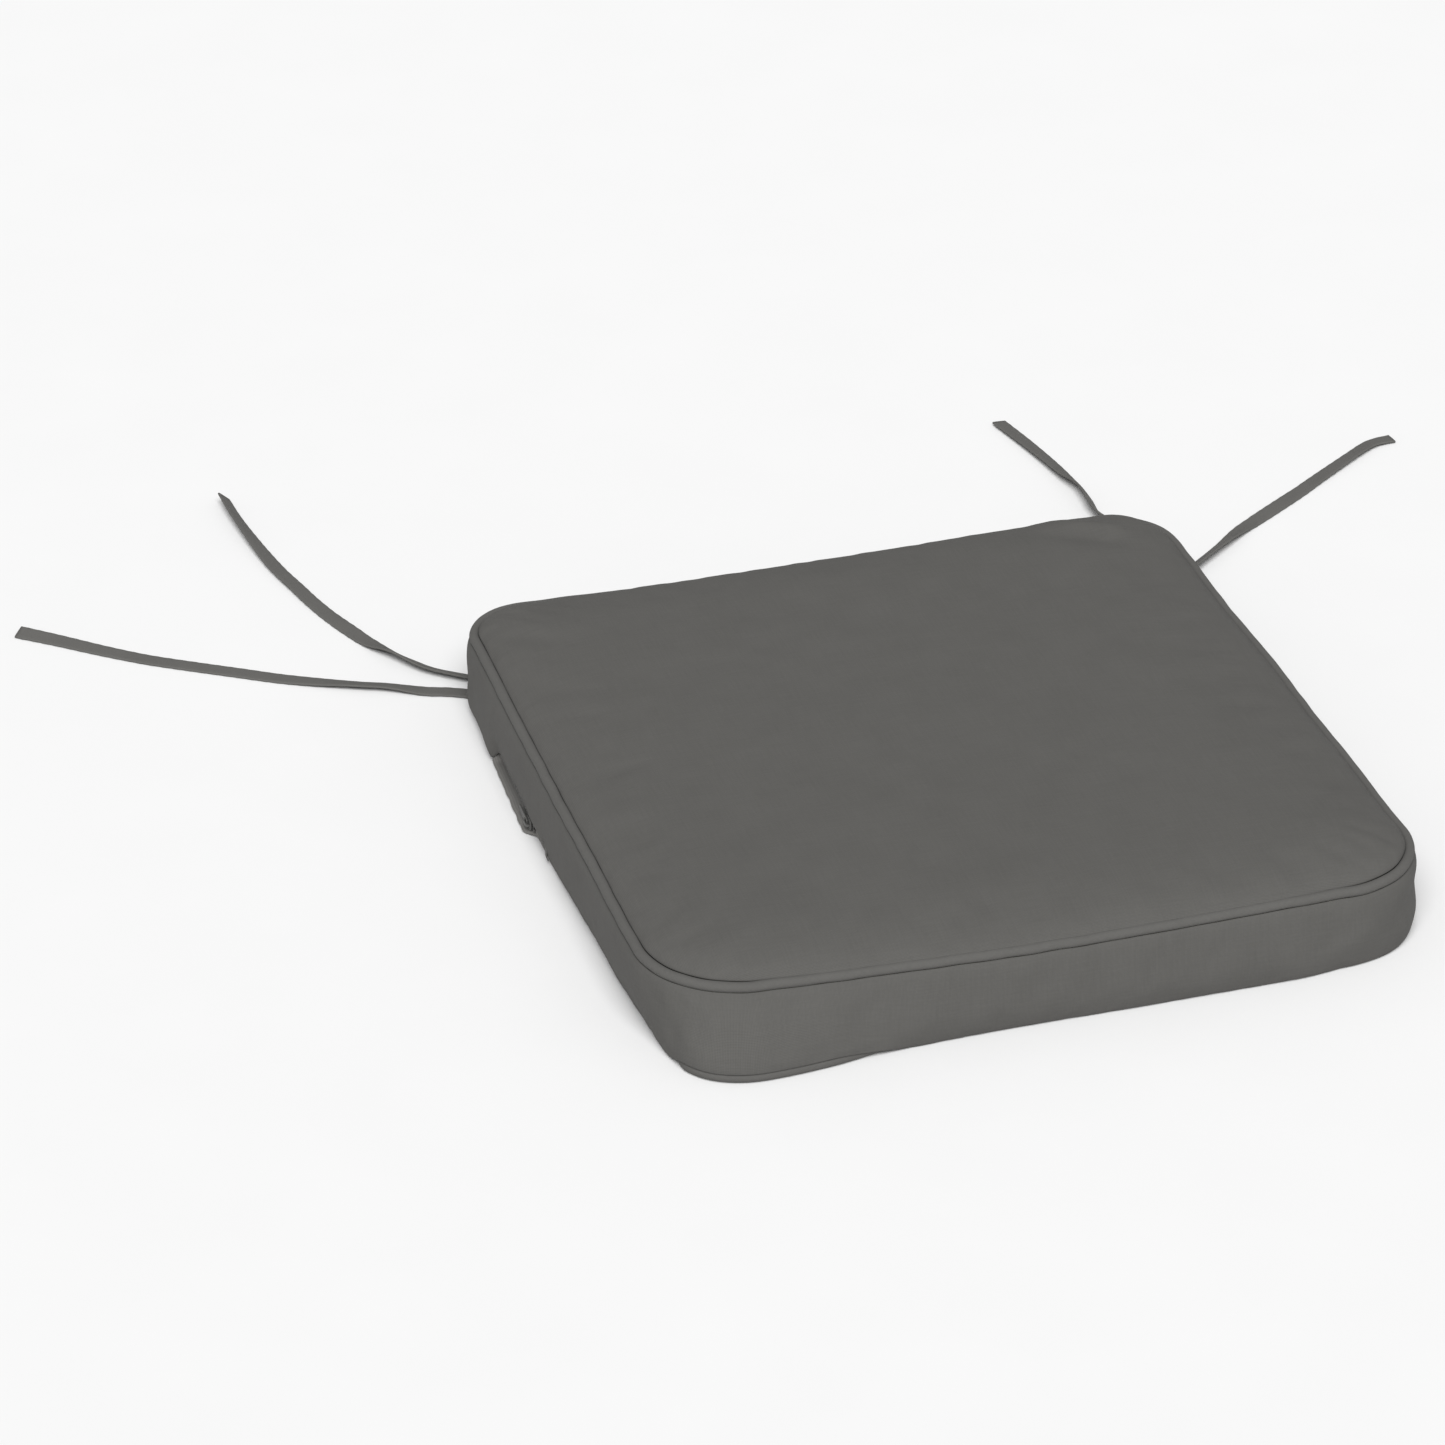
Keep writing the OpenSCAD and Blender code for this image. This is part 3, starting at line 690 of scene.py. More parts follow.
# Inset of the pad's lower edge where it meets the floor, by the distance along the outline from the
# middle of the front left corner. That corner's foot is dragged to the front and kicks out there.
LOW_EDGE = [(-440, 0.8), (-395, 0.6), (-357, -0.4), (-340, -0.5), (-328, -1.0), (-318, -2.0),
            (-304, -2.3), (-288, -2.4), (-245, -2.2),
            (-222, -0.6), (-205, 1.0), (-160, 2.3), (-120, 3.4), (-80, 3.9), (-55, 5.2), (-37, 6.6),
            (-24, 5.4), (-10, 0.4), (0, -6.2), (11, -12.4), (21, -14.4), (34, -14.8), (52, -13.8),
            (75, -10.2), (95, -7.0), (115, -4.0), (135, -2.0), (160, -0.3), (190, 0.4), (225, -0.1),
            (260, -0.7), (290, -1.6), (315, -2.0), (326, -0.8), (340, 1.1), (352, 1.6), (366, 0.2),
            (380, -0.3), (430, 0.8)]
PLAIN_LOW = 1.3
FLARED_LOW = -9.6
HIDING_LOW = -0.5
PIPING_TUCK = 7.5
HEM_RAMP = 9.0
ZIP_LINE = make_zip_line()


def side_spot(y, side):
    """Distance along the outline of the spot at y on the left side, -1, or the right one, 1."""
    return OUTLINE.nearest(side * side_x(y, 0), y)


S_ZIP_RIGHT = side_spot(ZIP_END_Y, 1)
S_ZIP_LEFT = side_spot(ZIP_END_Y, -1)
S_HANG = side_spot(ZIP_TUCK_Y - 5, -1)


def low_edge(s):
    knots = np.array(LOW_EDGE, float)
    gap = round_gap(s, S_FRONT_LEFT)
    near = [np.interp(gap + step, knots[:, 0], knots[:, 1]) for step in (-7, -3.5, 0, 3.5, 7)]
    return np.mean(near, axis=0)


def flare(s):
    """1 where the front left corner kicks out and shows the bottom piping, 0 elsewhere."""
    gap = round_gap(s, S_FRONT_LEFT)
    return smooth((gap + 9) / 14) * smooth((120 - gap) / 52)


def hanging(s):
    """1 where the band's hem hangs down over the zip, on the left side close to the back."""
    s = np.mod(s, ROUND)
    return smooth((s - S_BACK_LEFT) / 22) * smooth((S_HANG - s) / 8)


def zip_share(s):
    """1 where the band's hem is up over the zip, 0 elsewhere."""
    s = np.mod(s, ROUND)
    over = smooth((s - S_ZIP_RIGHT) / HEM_RAMP) * smooth((S_ZIP_LEFT - s) / HEM_RAMP)
    return over * (1 - hanging(s))


def low_shift(s):
    """How far the lower edge is moved in from where the band's sections have it."""
    kick, over, hang = flare(s), zip_share(s), hanging(s)
    edge_in = low_edge(s)
    plain = edge_in - PLAIN_LOW * (1 - kick) - FLARED_LOW * kick
    return plain * (1 - over - hang) + (edge_in - HIDING_LOW) * hang


RIGHT_MIDDLE = side_spot(0, 1)
FRONT_MIDDLE = OUTLINE.nearest(0, -DEPTH / 2)


def seam_lift(s):
    """How far the top seam rises or dips from level."""
    back = np.abs(round_gap(s, S_BACK))
    sag = -3.0 * smooth(1 - back / 150)
    rise = 0.3 * smooth((200 - back) / 50)
    rise = rise - 1.2 * smooth((170 - np.abs(round_gap(s, RIGHT_MIDDLE))) / 60)
    rise = rise - 1.9 * bump(round_gap(s, S_BACK_LEFT), -70, 130)
    return sag + rise + 0.35 * ripple(s, 170, 11) + 0.1 * ripple(s, 34, 12)


def front_share(s):
    """1 along the front edge's middle, 0 near its corners."""
    return smooth((170 - np.abs(round_gap(s, FRONT_MIDDLE))) / 60)


def seam_sway(s):
    """How far the top seam wanders in and out."""
    return 0.4 * ripple(s, 150, 13) + 0.12 * ripple(s, 30, 14) - 1.0 * front_share(s)


def bottom_inset(s):
    """Inset of the bottom piping's centre."""
    kick, over, hang = flare(s), zip_share(s), hanging(s)
    tucked = PIPING_TUCK + (low_edge(s) - PLAIN_LOW) * (1 - over - hang)
    return tucked * (1 - kick) + (low_edge(s) + 1.57) * kick


RING_S = np.linspace(0, ROUND, 600, endpoint=False)
RING_U = np.linspace(0, ROUND, 601)


def piping_section(slit_deg, flange_end, flange_z):
    """Closed section of a piping's cover, as [inset, z] from the piping's centre."""
    outer = np.radians(np.linspace(slit_deg + 16, slit_deg + 344, 22))
    inner = np.radians(np.linspace(slit_deg + 354, slit_deg + 6, 12))
    inner_r = PIPING_R - 0.6
    return np.vstack([
        np.column_stack([np.cos(outer), np.sin(outer)]) * PIPING_R,
        [(flange_end, flange_z - 0.6), (flange_end, flange_z - 0.08)],
        np.column_stack([np.cos(inner), np.sin(inner)]) * inner_r,
        [(flange_end, flange_z + 0.08), (flange_end, flange_z + 0.6)],
    ])


def lengths_along(section):
    return run_lengths(np.vstack([section, section[:1]]))


def ring_sweep(name, section, inset, z, material, plump=None):
    """A closed section swept round the outline, about a centre given for each ring."""
    size = 1.0 if plump is None else plump[:, None]
    points = OUTLINE.place(RING_S[:, None], inset[:, None] + section[:, 0] * size,
                           z[:, None] + section[:, 1] * size)
    obj = skin(name, points, RING_U, lengths_along(section), material, close_rows=True,
               close_cols=True)
    return upright(obj)


TOP_INSET = TOP_PIPING_INSET + seam_sway(RING_S)
TOP_Z = TOP_PIPING_Z + seam_lift(RING_S)
LOW_INSET = bottom_inset(RING_S)
LOW_Z = np.full_like(RING_S, PIPING_R + 0.05)
FLANGE_REACH = 10.6
plump = TOP_PIPING_R / PIPING_R * (1 + 0.018 * ripple(RING_S, 22, 16))
piece(ring_sweep("top_piping_fabric", piping_section(-50, FLANGE_REACH, -2.7), TOP_INSET, TOP_Z,
                 PIPING, plump), "piping_fabric", "top_piping_cover")
piece(ring_sweep("bottom_piping_fabric", piping_section(-17, FLANGE_REACH, -1.05), LOW_INSET,
                 LOW_Z, PIPING), "piping_fabric", "bottom_piping_cover")


def round_section(radius, sides):
    a = np.linspace(0, 2 * math.pi, sides, endpoint=False)
    return np.column_stack([np.cos(a), np.sin(a)]) * radius


piece(ring_sweep("top_filler_cord", round_section(1.7, 12), TOP_INSET, TOP_Z, CORD),
      "cord_fibre", "top_piping_cord")
piece(ring_sweep("bottom_filler_cord", round_section(1.95, 12), LOW_INSET, LOW_Z, CORD),
      "cord_fibre", "bottom_piping_cord")


# ---- Stitches and other small repeated shapes ----

def beads(name, line, starts, along, inset, z, material):
    """Closed shapes repeated along a line. along, inset and z give each one's points, in rings."""
    starts = np.asarray(starts, float).reshape(-1, 1, 1)
    points = line.place(starts + along, inset, z)
    count, rings, sides = points.shape[:3]
    quads, ci, cj = grid_faces(rings, sides, False, True)
    caps = np.array([np.arange(sides)[::-1], (rings - 1) * sides + np.arange(sides)])
    offsets = np.arange(count)[:, None, None] * rings * sides
    faces = []
    uvs = []
    scale = 0.5 * MM
    quad_uv = np.stack([ci, cj], axis=-1).reshape(-1, 2) * scale
    for quad_set, cap_set in zip((quads + offsets).tolist(), (caps + offsets).tolist()):
        faces += quad_set + cap_set
        uvs += [quad_uv, np.zeros((2 * sides, 2))]
    return upright(make_object(name, points, faces, np.vstack(uvs), material))


ROUND_SIX = np.radians(np.arange(0, 360, 60))


def stitches(name, line, starts, length, inset, z, radius):
    """A row of stitches along a line: short threads that dip into the cloth at both ends."""
    bends = np.linspace(-1, 1, 5)[:, None]
    arch = np.sqrt(np.maximum(0, 1 - bends ** 2 * 0.92))
    thick = radius * (0.45 + 0.55 * arch)
    along = length / 2 + bends * length / 2 + 0 * ROUND_SIX
    dip = (1 - arch) * radius * 1.2 + np.cos(ROUND_SIX) * thick
    rise = np.sin(ROUND_SIX) * thick
    return beads(name, line, starts, along, np.asarray(inset).reshape(-1, 1, 1) + dip,
                 np.asarray(z).reshape(-1, 1, 1) + rise, THREAD)


STITCH = 3.2
seam_starts = np.arange(0, ROUND - STITCH, STITCH)
piece(stitches("top_lockstitch", OUTLINE, seam_starts, STITCH * 0.86,
               TOP_PIPING_INSET + 5.2 + seam_sway(seam_starts),
               TOP_PIPING_Z - 3.4 + seam_lift(seam_starts), 0.3),
      "thread", "top_seam_thread")
piece(stitches("bottom_lockstitch", OUTLINE, seam_starts, STITCH * 0.86,
               bottom_inset(seam_starts) + 5, np.full_like(seam_starts, PIPING_R + 0.35), 0.3),
      "thread", "bottom_seam_thread")


# ---- Panels ----

PER_SIDE = 92


def column_places():
    """Distances of a panel's columns: the same number on each side, between corner middles."""
    places = []
    for i, start in enumerate(CORNERS):
        length = np.mod(CORNERS[(i + 1) % 4] - start, ROUND)
        places.append(start + length * np.arange(PER_SIDE) / PER_SIDE)
    return np.concatenate(places)


COLUMN_S = column_places()


def panel_grid(insets):
    """Plan points and faces of a panel: rings at insets [ring, column], then a square grid."""
    n = PER_SIDE
    rings = np.stack([OUTLINE.place(COLUMN_S, row, 0.0)[:, :2] for row in insets])
    last = rings[-1]
    front = last[:n + 1]
    right = last[n:2 * n + 1]
    back = last[2 * n:3 * n + 1][::-1]
    left = np.vstack([last[3 * n:], last[:1]])[::-1]
    t = np.linspace(0, 1, n + 1)
    u, v = t[:, None, None], t[None, :, None]
    grid = ((1 - v) * front[:, None] + v * back[:, None] + (1 - u) * left[None] + u * right[None]
            - (1 - u) * (1 - v) * front[0] - u * (1 - v) * front[-1]
            - (1 - u) * v * back[0] - u * v * back[-1])
    for _ in range(400):
        grid[1:-1, 1:-1] = (grid[2:, 1:-1] + grid[:-2, 1:-1] + grid[1:-1, 2:]
                            + grid[1:-1, :-2]) / 4
    index = np.zeros((n + 1, n + 1), int)
    base = (len(insets) - 1) * 4 * n
    index[:, 0] = base + np.arange(n + 1)
    index[n, :] = base + n + np.arange(n + 1)
    index[:, n] = base + 3 * n - np.arange(n + 1)
    index[0, 1:] = base + 4 * n - np.arange(1, n + 1)
    inner = len(insets) * 4 * n + np.arange((n - 1) ** 2).reshape(n - 1, n - 1)
    index[1:-1, 1:-1] = inner
    i, j = (a.ravel() for a in np.meshgrid(np.arange(n), np.arange(n), indexing="ij"))
    cells = np.stack([index[i, j], index[i + 1, j], index[i + 1, j + 1], index[i, j + 1]], axis=1)
    outer, _, _ = grid_faces(len(insets), 4 * n, False, True)
    plan = np.vstack([rings.reshape(-1, 2), grid[1:-1, 1:-1].reshape(-1, 2)])
    return plan, np.vstack([outer[:, ::-1][:, [3, 0, 1, 2]], cells])


def nearest_of(plan, spots):
    """Distance of each plan point from the nearest of the spots, and the number of that spot."""
    far = np.full(len(plan), np.inf)
    number = np.zeros(len(plan), int)
    for k, spot in enumerate(spots):
        gap = np.hypot(plan[:, 0] - spot[0], plan[:, 1] - spot[1])
        closer = gap < far
        far[closer] = gap[closer]
        number[closer] = k
    return far, number


def edge_facts(plan, count):
    """Distance of each plan point from the top panel's edge, and its place along it."""
    s = np.linspace(0, ROUND, count, endpoint=False) + COLUMN_S[0]
    gap, number = nearest_of(plan, OUTLINE.place(s, TOP_EDGE, 0.0)[:, :2])
    return gap, COLUMN_S[0] + number * ROUND / count


def ring_facts(gap, place, rings):
    """Sets the exact distances and places of a panel's ring points."""
    count = len(rings) * 4 * PER_SIDE
    gap[:count] = np.repeat(rings, 4 * PER_SIDE)
    place[:count] = np.tile(COLUMN_S, len(rings))


def panel(name, plan, z, faces, material, face_up=True):
    points = np.column_stack([plan, z])
    faces = faces if face_up else faces[:, ::-1]
    return make_object(name, points, faces.tolist(), plan[faces].reshape(-1, 2) * MM, material)


TOP_EDGE = TOP_PIPING_INSET + 1.8
TOP_EDGE_Z = TOP_PIPING_Z + 2.1
TOP_RINGS = [0, 0.7, 1.6, 2.8, 4.4, 6.4, 9.0, 12.2, 16.0]


def crown(gap):
    """Rise of the top panel over its edge, at a distance from it."""
    return (4.0 * (1 - np.exp(-gap / 4.4)) + 4.3 * (1 - np.exp(-gap / 12))
            + 3.2 * (1 - np.exp(-gap / 45)))


def back_puff(gap, place):
    """Extra fullness beside the back seam, which hides the piping there."""
    share = smooth(1.2 - np.abs(round_gap(place, S_BACK - 28)) / 168)
    return 3.6 * share * (1 - np.exp(-gap / 1.8)) * np.exp(-gap / 30)


# Straight ridges and dents: spot, angle, length, width and height
TOP_FOLDS = [((147, 178), -32, 92, 5.5, 2.4), ((138, 166), -30, 96, 7.0, -1.6),
             ((-158, -150), 62, 70, 6.0, -0.55), ((-146, -163), 35, 64, 5.0, 0.4),
             ((-128, -172), 15, 60, 5.0, -0.5), ((20, 176), 4, 120, 9.0, -0.7),
             ((-60, 170), -8, 90, 8.0, -0.45)]
LEFT_FOLDS = [((50, 24), 62, 40, 7.5, -0.9), ((38, 22), 70, 36, 6.0, 0.55),
              ((74, 26), 25, 60, 8.0, 0.45)]
RIGHT_FOLDS = [((-46, 22), 38, 62, 5.5, -0.8), ((-30, 21), 46, 54, 5.0, 0.6),
               ((-12, 19), 58, 40, 5.0, -0.7), ((14, 21), 70, 36, 5.0, 0.4)]


def folds(x, y, table):
    return sum(fold(x, y, *row) for row in table)


def top_features(x, y):
    """Soft wrinkles and dents of the top panel."""
    return 0.35 * swell(x, y, 95, 21) + 0.12 * swell(x, y, 38, 22) + folds(x, y, TOP_FOLDS)


def make_top_panel():
    lap = front_share(COLUMN_S)
    sway = seam_sway(COLUMN_S) - 2.0 * lap
    insets = np.array([TOP_EDGE + d + sway * math.exp(-d / 12) for d in TOP_RINGS])
    plan, faces = panel_grid(insets)
    gap, place = edge_facts(plan, 1500)
    ring_facts(gap, place, TOP_RINGS)
    pull = np.exp(-((gap - 3.5) / 6.0) ** 2) * np.minimum(1, gap / 1.5)
    gathers = pull * (0.16 * ripple(place, 15, 23) + 0.1 * ripple(place, 8.5, 24))
    lift = seam_lift(place) * np.exp(-gap / 34) + 0.6 * front_share(place) * np.exp(-gap / 4)
    z = (TOP_EDGE_Z + crown(gap) + back_puff(gap, place) + lift + gathers
         + top_features(plan[:, 0], plan[:, 1]) * smooth(gap / 9))
    obj = panel("top_cover", plan, z, faces, COVER)
    hold = np.where(gap < 0.01, 1.0, 0.04 + 0.16 * np.exp(-gap / 20))
    settle(obj, hold, slack=0.003, cap=1.2)
    return thicken(obj)


top_cover = piece(make_top_panel(), "cover_fabric", "top_panel")

# ---- Boxing band ----

# Outer face as [inset, z], from its inner lower edge to the top piping: plain, where the front left
# corner kicks out, with its hem up over the zip, and with its hem hanging over the zip
BAND_PLAIN = [(6.6, 5.75), (4.7, 4.7), (4.0, 2.8), (3.2, 1.0), (2.0, 0.4), (1.1, 0.8), (0.3, 2.4),
              (-0.7, 6.2), (-1.8, 12), (-2.4, 19), (-2.4, 28), (-2.0, 35.5), (-0.9, 40.2),
              (0.3, 41.7)]
BAND_FLARED = [(-8.9, 5.4), (-9.6, 5.15), (-10.1, 5.05), (-10.5, 5.1), (-10.8, 5.5), (-11.0, 6.4),
               (-11.0, 9), (-10.3, 13.5), (-8.7, 20), (-6.2, 27.5), (-4.0, 33.5), (-2.4, 37.4),
               (-0.9, 40.2), (0.3, 41.7)]
BAND_OVER_ZIP = [(-0.75, 12.5), (-0.75, 11.4), (-0.8, 10.3), (-1.1, 9.65), (-1.8, 9.45),
                 (-2.4, 9.9), (-2.6, 11.2), (-2.65, 15), (-2.6, 20), (-2.5, 27), (-2.3, 32),
                 (-1.9, 36.6), (-0.9, 40.2), (0.3, 41.7)]
BAND_HANGING = [(0.6, 9.5), (0.6, 8.0), (0.5, 6.2), (0.4, 4.4), (0.1, 3.1), (-0.7, 2.55),
                (-1.6, 3.2), (-2.2, 5.5), (-2.6, 11), (-2.7, 19), (-2.5, 28), (-2.0, 35.5),
                (-0.9, 40.2), (0.3, 41.7)]
BAND_SAMPLES = 27


def zip_inset(s):
    """Inset of the zip's line from the outline."""
    spots = OUTLINE.xy(s)
    line = ZIP_LINE.xy(np.linspace(0, ZIP_LINE.length, 700))
    _, number = nearest_of(spots, line)
    return ((spots - line[number]) * OUTLINE.normal(s)).sum(axis=1)


def band_features(s, z):
    """Soft dents and folds of the band, outwards where above 0."""
    left = round_gap(s, S_FRONT_LEFT)
    right = round_gap(s, S_FRONT_RIGHT)
    out = 0.45 * ripple(s + z, 120, 31) + 0.16 * ripple(s - 0.6 * z, 42, 32)
    out = out + folds(left, z, LEFT_FOLDS) + folds(right, z, RIGHT_FOLDS)
    for corner, seed in ((S_BACK_RIGHT, 33), (S_BACK_LEFT, 34), (S_FRONT_LEFT, 35)):
        near = bump(round_gap(s, corner), 0, 55)
        out = out + 0.4 * near * ripple(s + 0.9 * z, 19, seed)
    out = out - 2.2 * bump(right, 12, 34) * bump(z, 24, 14)
    out = out - 1.4 * bump(round_gap(s, S_BACK_LEFT), 26, 28) * bump(z, 19, 14)
    return out * smooth((z - 8) / 8) * smooth((39.5 - z) / 6)


def make_band():
    seam = S_BACK + np.array([-2.2, -1.2, -0.5, 0, 0.5, 1.2, 2.2])
    even = np.linspace(0, ROUND, 560, endpoint=False)
    s = np.sort(np.concatenate([even[np.abs(even - S_BACK) > 3], seam]))
    kick, over, hang = (share(s)[:, None] for share in (flare, zip_share, hanging))
    steps = np.linspace(0, len(BAND_PLAIN) - 1, BAND_SAMPLES)
    plain, flared, zipped, hung = (spline(p, steps) for p in (BAND_PLAIN, BAND_FLARED,
                                                               BAND_OVER_ZIP, BAND_HANGING))
    level = smooth((22 - zipped[:, 1]) / 14)
    rest = 1 - over - hang
    ins = (plain[:, 0] * (1 - kick) + flared[:, 0] * kick) * rest + hung[:, 0] * hang
    ins = ins + (zipped[:, 0] + 0.62 * zip_inset(s)[:, None] * level) * over
    z = ((plain[:, 1] * (1 - kick) + flared[:, 1] * kick) * rest + hung[:, 1] * hang
         + zipped[:, 1] * over)
    ins = ins + low_shift(s)[:, None] * smooth((40 - z) / 38)
    top = smooth((z - 20) / 22)
    ins = ins + seam_sway(s)[:, None] * top - band_features(s[:, None], z)
    gathers = np.exp(-((z - 38.6) / 3.2) ** 2)
    ins = ins - gathers * (0.12 * ripple(s, 14, 36) + 0.07 * ripple(s, 8, 37))[:, None]
    z = z + seam_lift(s)[:, None] * top
    z = np.maximum(z, 0.35)
    join = np.exp(-(round_gap(s, S_BACK) / 0.75) ** 2)[:, None]
    ins = ins + 0.55 * join
    points = OUTLINE.place(s[:, None], ins, z)
    up = np.concatenate([[0], np.cumsum(np.hypot(*np.diff(plain, axis=0).T))])
    obj = skin("band_cover", points, np.append(s, s[0] + ROUND), up, COVER, close_rows=True)
    hold = np.full(points.shape[:2], 0.06)
    hold[:, :10] = np.linspace(1, 0.2, 10)
    hold[:, -6:] = np.linspace(0.2, 1, 6)
    hold[:, [0, 1, -2, -1]] = 1.0
    settle(obj, hold.ravel(), slack=0.002, cap=0.8)
    return thicken(obj)


band_cover = piece(make_band(), "cover_fabric", "boxing_band")


# ---- Bottom panel, foam and wadding ----

def make_bottom_panel():
    edge_inset = bottom_inset(COLUMN_S) + PIPING_R + 0.25
    rings = [0, 0.8, 1.8, 3.2, 5.5, 9, 14]
    insets = np.array([edge_inset + d for d in rings])
    plan, faces = panel_grid(insets)
    gap = np.full(len(plan), 20.0)
    place = np.zeros(len(plan))
    ring_facts(gap, place, rings)
    gathers = np.exp(-((gap - 4) / 4) ** 2) * (ripple(place, 16, 41) + 1)
    wrinkles = 0.25 * (swell(plan[:, 0], plan[:, 1], 70, 42) + 1) * smooth((gap - 6) / 8)
    z = 0.12 + 1.3 * np.exp(-gap / 1.3) + 0.22 * gathers + wrinkles
    obj = panel("bottom_cover", plan, z, faces, COVER, face_up=False)
    return thicken(obj, levels=0)


bottom_cover = piece(make_bottom_panel(), "cover_fabric", "bottom_panel")


def block(name, insets, low_z, side, high_z, material):
    """A closed block: a flat underside, side points as [inset, z], and a top."""
    insets = np.array([np.full(len(COLUMN_S), inset) for inset in insets])
    plan, faces = panel_grid(insets)
    count, ring = len(plan), 4 * PER_SIDE
    sides = [OUTLINE.place(COLUMN_S, inset, z) for inset, z in side]
    points = np.vstack([np.column_stack([plan, low_z(plan)]), *sides,
                        np.column_stack([plan, high_z(plan)])])
    top = count + len(side) * ring
    rows = [np.arange(ring)] + [count + k * ring + np.arange(ring) for k in range(len(side))]
    rows.append(top + np.arange(ring))
    walls = [np.stack([a, np.roll(a, -1), np.roll(b, -1), b], axis=1)
             for a, b in zip(rows[:-1], rows[1:])]
    every = np.vstack([faces[:, ::-1], faces + top, *walls])
    uvs = points[every][..., :2].reshape(-1, 2) * MM
    return upright(make_object(name, points, every.tolist(), uvs, material))


def make_core():
    bottom_z, top_z = core_heights()
    step = BOTTOM_INSET + PIPING_R + 1.2
    side = [(step - 0.9, bottom_z + 0.5), (step - 1.1, bottom_z + 2.2), (CORE_INSET + 1.2, 6.4),
            (CORE_INSET, 7.6)]
    side += [(CORE_INSET, z) for z in np.linspace(12, top_z - 3, 6)]
    side += [(CORE_INSET + 0.4, top_z - 1.2), (CORE_INSET + 1.6, top_z - 0.2)]
    sag = lambda plan: 0.25 * swell(plan[:, 0], plan[:, 1], 60, 51)
    return block("foam_block", [step + 2.4, step + 6, step + 14],
                 lambda plan: bottom_z + 0.35 + sag(plan), side,
                 lambda plan: top_z - 0.35 + sag(plan), FOAM)


core = piece(make_core(), "foam", "foam_core")


def make_wadding():
    start = TOP_EDGE + 9.4
    base_z = core_heights()[1] + 0.35

    def top_of(plan):
        s = np.linspace(0, ROUND, 700, endpoint=False)
        gap, _ = nearest_of(plan, OUTLINE.place(s, TOP_EDGE, 0.0)[:, :2])
        fluff = 0.3 * swell(plan[:, 0], plan[:, 1], 17, 52)
        return TOP_EDGE_Z + crown(gap) - 3.6 + fluff - 1.2 * np.exp(-(gap - 9.4) / 2)

    side = [(start - 0.4, base_z + 0.9), (start - 0.6, base_z + 2.6), (start - 0.2, base_z + 5)]
    return block("wadding_sheet", [start + 0.6, start + 3, start + 8],
                 lambda plan: base_z + 0.2 * (swell(plan[:, 0], plan[:, 1], 25, 53) + 1), side,
                 top_of, WADDING)


wadding = piece(make_wadding(), "wadding", "top_wadding")


# ---- Zip ----

COIL_T = 1.25
COIL_W = 1.4
CHAIN_GAP = 1.6
TEETH_PITCH = 1.5
STRIP_GAP = 2.5
SLIDER_Y = 44.0
SLIDER_LEN = 9.0


def zip_place(y, left=True):
    """Distance along the zip's line at height y of the plan on one side."""
    ends = ZIP_LINE.points
    half = ends[:, 0] < 0 if left else ends[:, 0] > 0
    order = np.argsort(ends[half][:, 1])
    return float(np.interp(y, ends[half][order, 1], ZIP_LINE.s[half][order]))


def strip(name, section, start, end, material):
    """A closed section swept along the zip's line."""
    s = np.linspace(start, end, round(abs(end - start) / STRIP_GAP) + 1)
    section = np.array(section, float)
    points = ZIP_LINE.place(s[:, None], section[:, 0], section[:, 1])
    obj = skin(name, points, s, lengths_along(section), material, close_cols=True, caps=True)
    return upright(obj)


TAPE_IN = TAPE_INSET + TAPE_T
TAPE_MID = TAPE_INSET + TAPE_T / 2
UPPER_Z = CHAIN_Z + CHAIN_GAP / 2
LOWER_Z = CHAIN_Z - CHAIN_GAP / 2
TAPE_TOP = 15.0
TAPE_FOOT = BOTTOM_INSET - PIPING_R + 0.3 - ZIP_TUCK
piece(strip("zip_tape_up", [(TAPE_INSET, UPPER_Z + 0.1), (TAPE_INSET, 9.5), (TAPE_INSET, 12),
                            (TAPE_INSET, TAPE_TOP), (TAPE_MID, TAPE_TOP + 0.15),
                            (TAPE_IN, TAPE_TOP), (TAPE_IN, 12), (TAPE_IN, 9.5),
                            (TAPE_IN, UPPER_Z + 0.1), (TAPE_MID, UPPER_Z)],
            0, ZIP_LINE.length, ZIP_CLOTH_PAINTED_LIGHT), "zip_tape", "zip_tape_upper")
# Middle of the lower tape as [inset, z], from the coil down: lying flat, and puckered outwards
TAPE_FLAT = [(TAPE_MID, LOWER_Z), (TAPE_MID, 4.2), (TAPE_MID, 3.4), (TAPE_MID + 0.1, 2.7),
             (TAPE_MID + 0.5, 2.1), (0.8, 1.95), (1.1, 1.95), (1.3, 1.95), (TAPE_FOOT, 1.95)]
TAPE_FOLDED = [(TAPE_MID, LOWER_Z), (TAPE_MID, 4.0), (TAPE_MID - 0.2, 3.0), (-1.6, 2.45),
               (-4.2, 2.2), (-6.0, 1.4), (-4.6, 0.6), (-1.5, 0.6), (TAPE_FOOT, 1.5)]
TAPE_RISEN = [(TAPE_MID, LOWER_Z), (TAPE_MID - 0.5, 5.6), (-1.6, 7.7), (-2.7, 7.7),
              (-4.6, 4.6), (-6.0, 1.8), (-4.6, 0.6), (-1.5, 0.6), (TAPE_FOOT, 1.5)]
FOLD_FRONT_Y = 34.5
FOLD_BACK_Y = 126.0


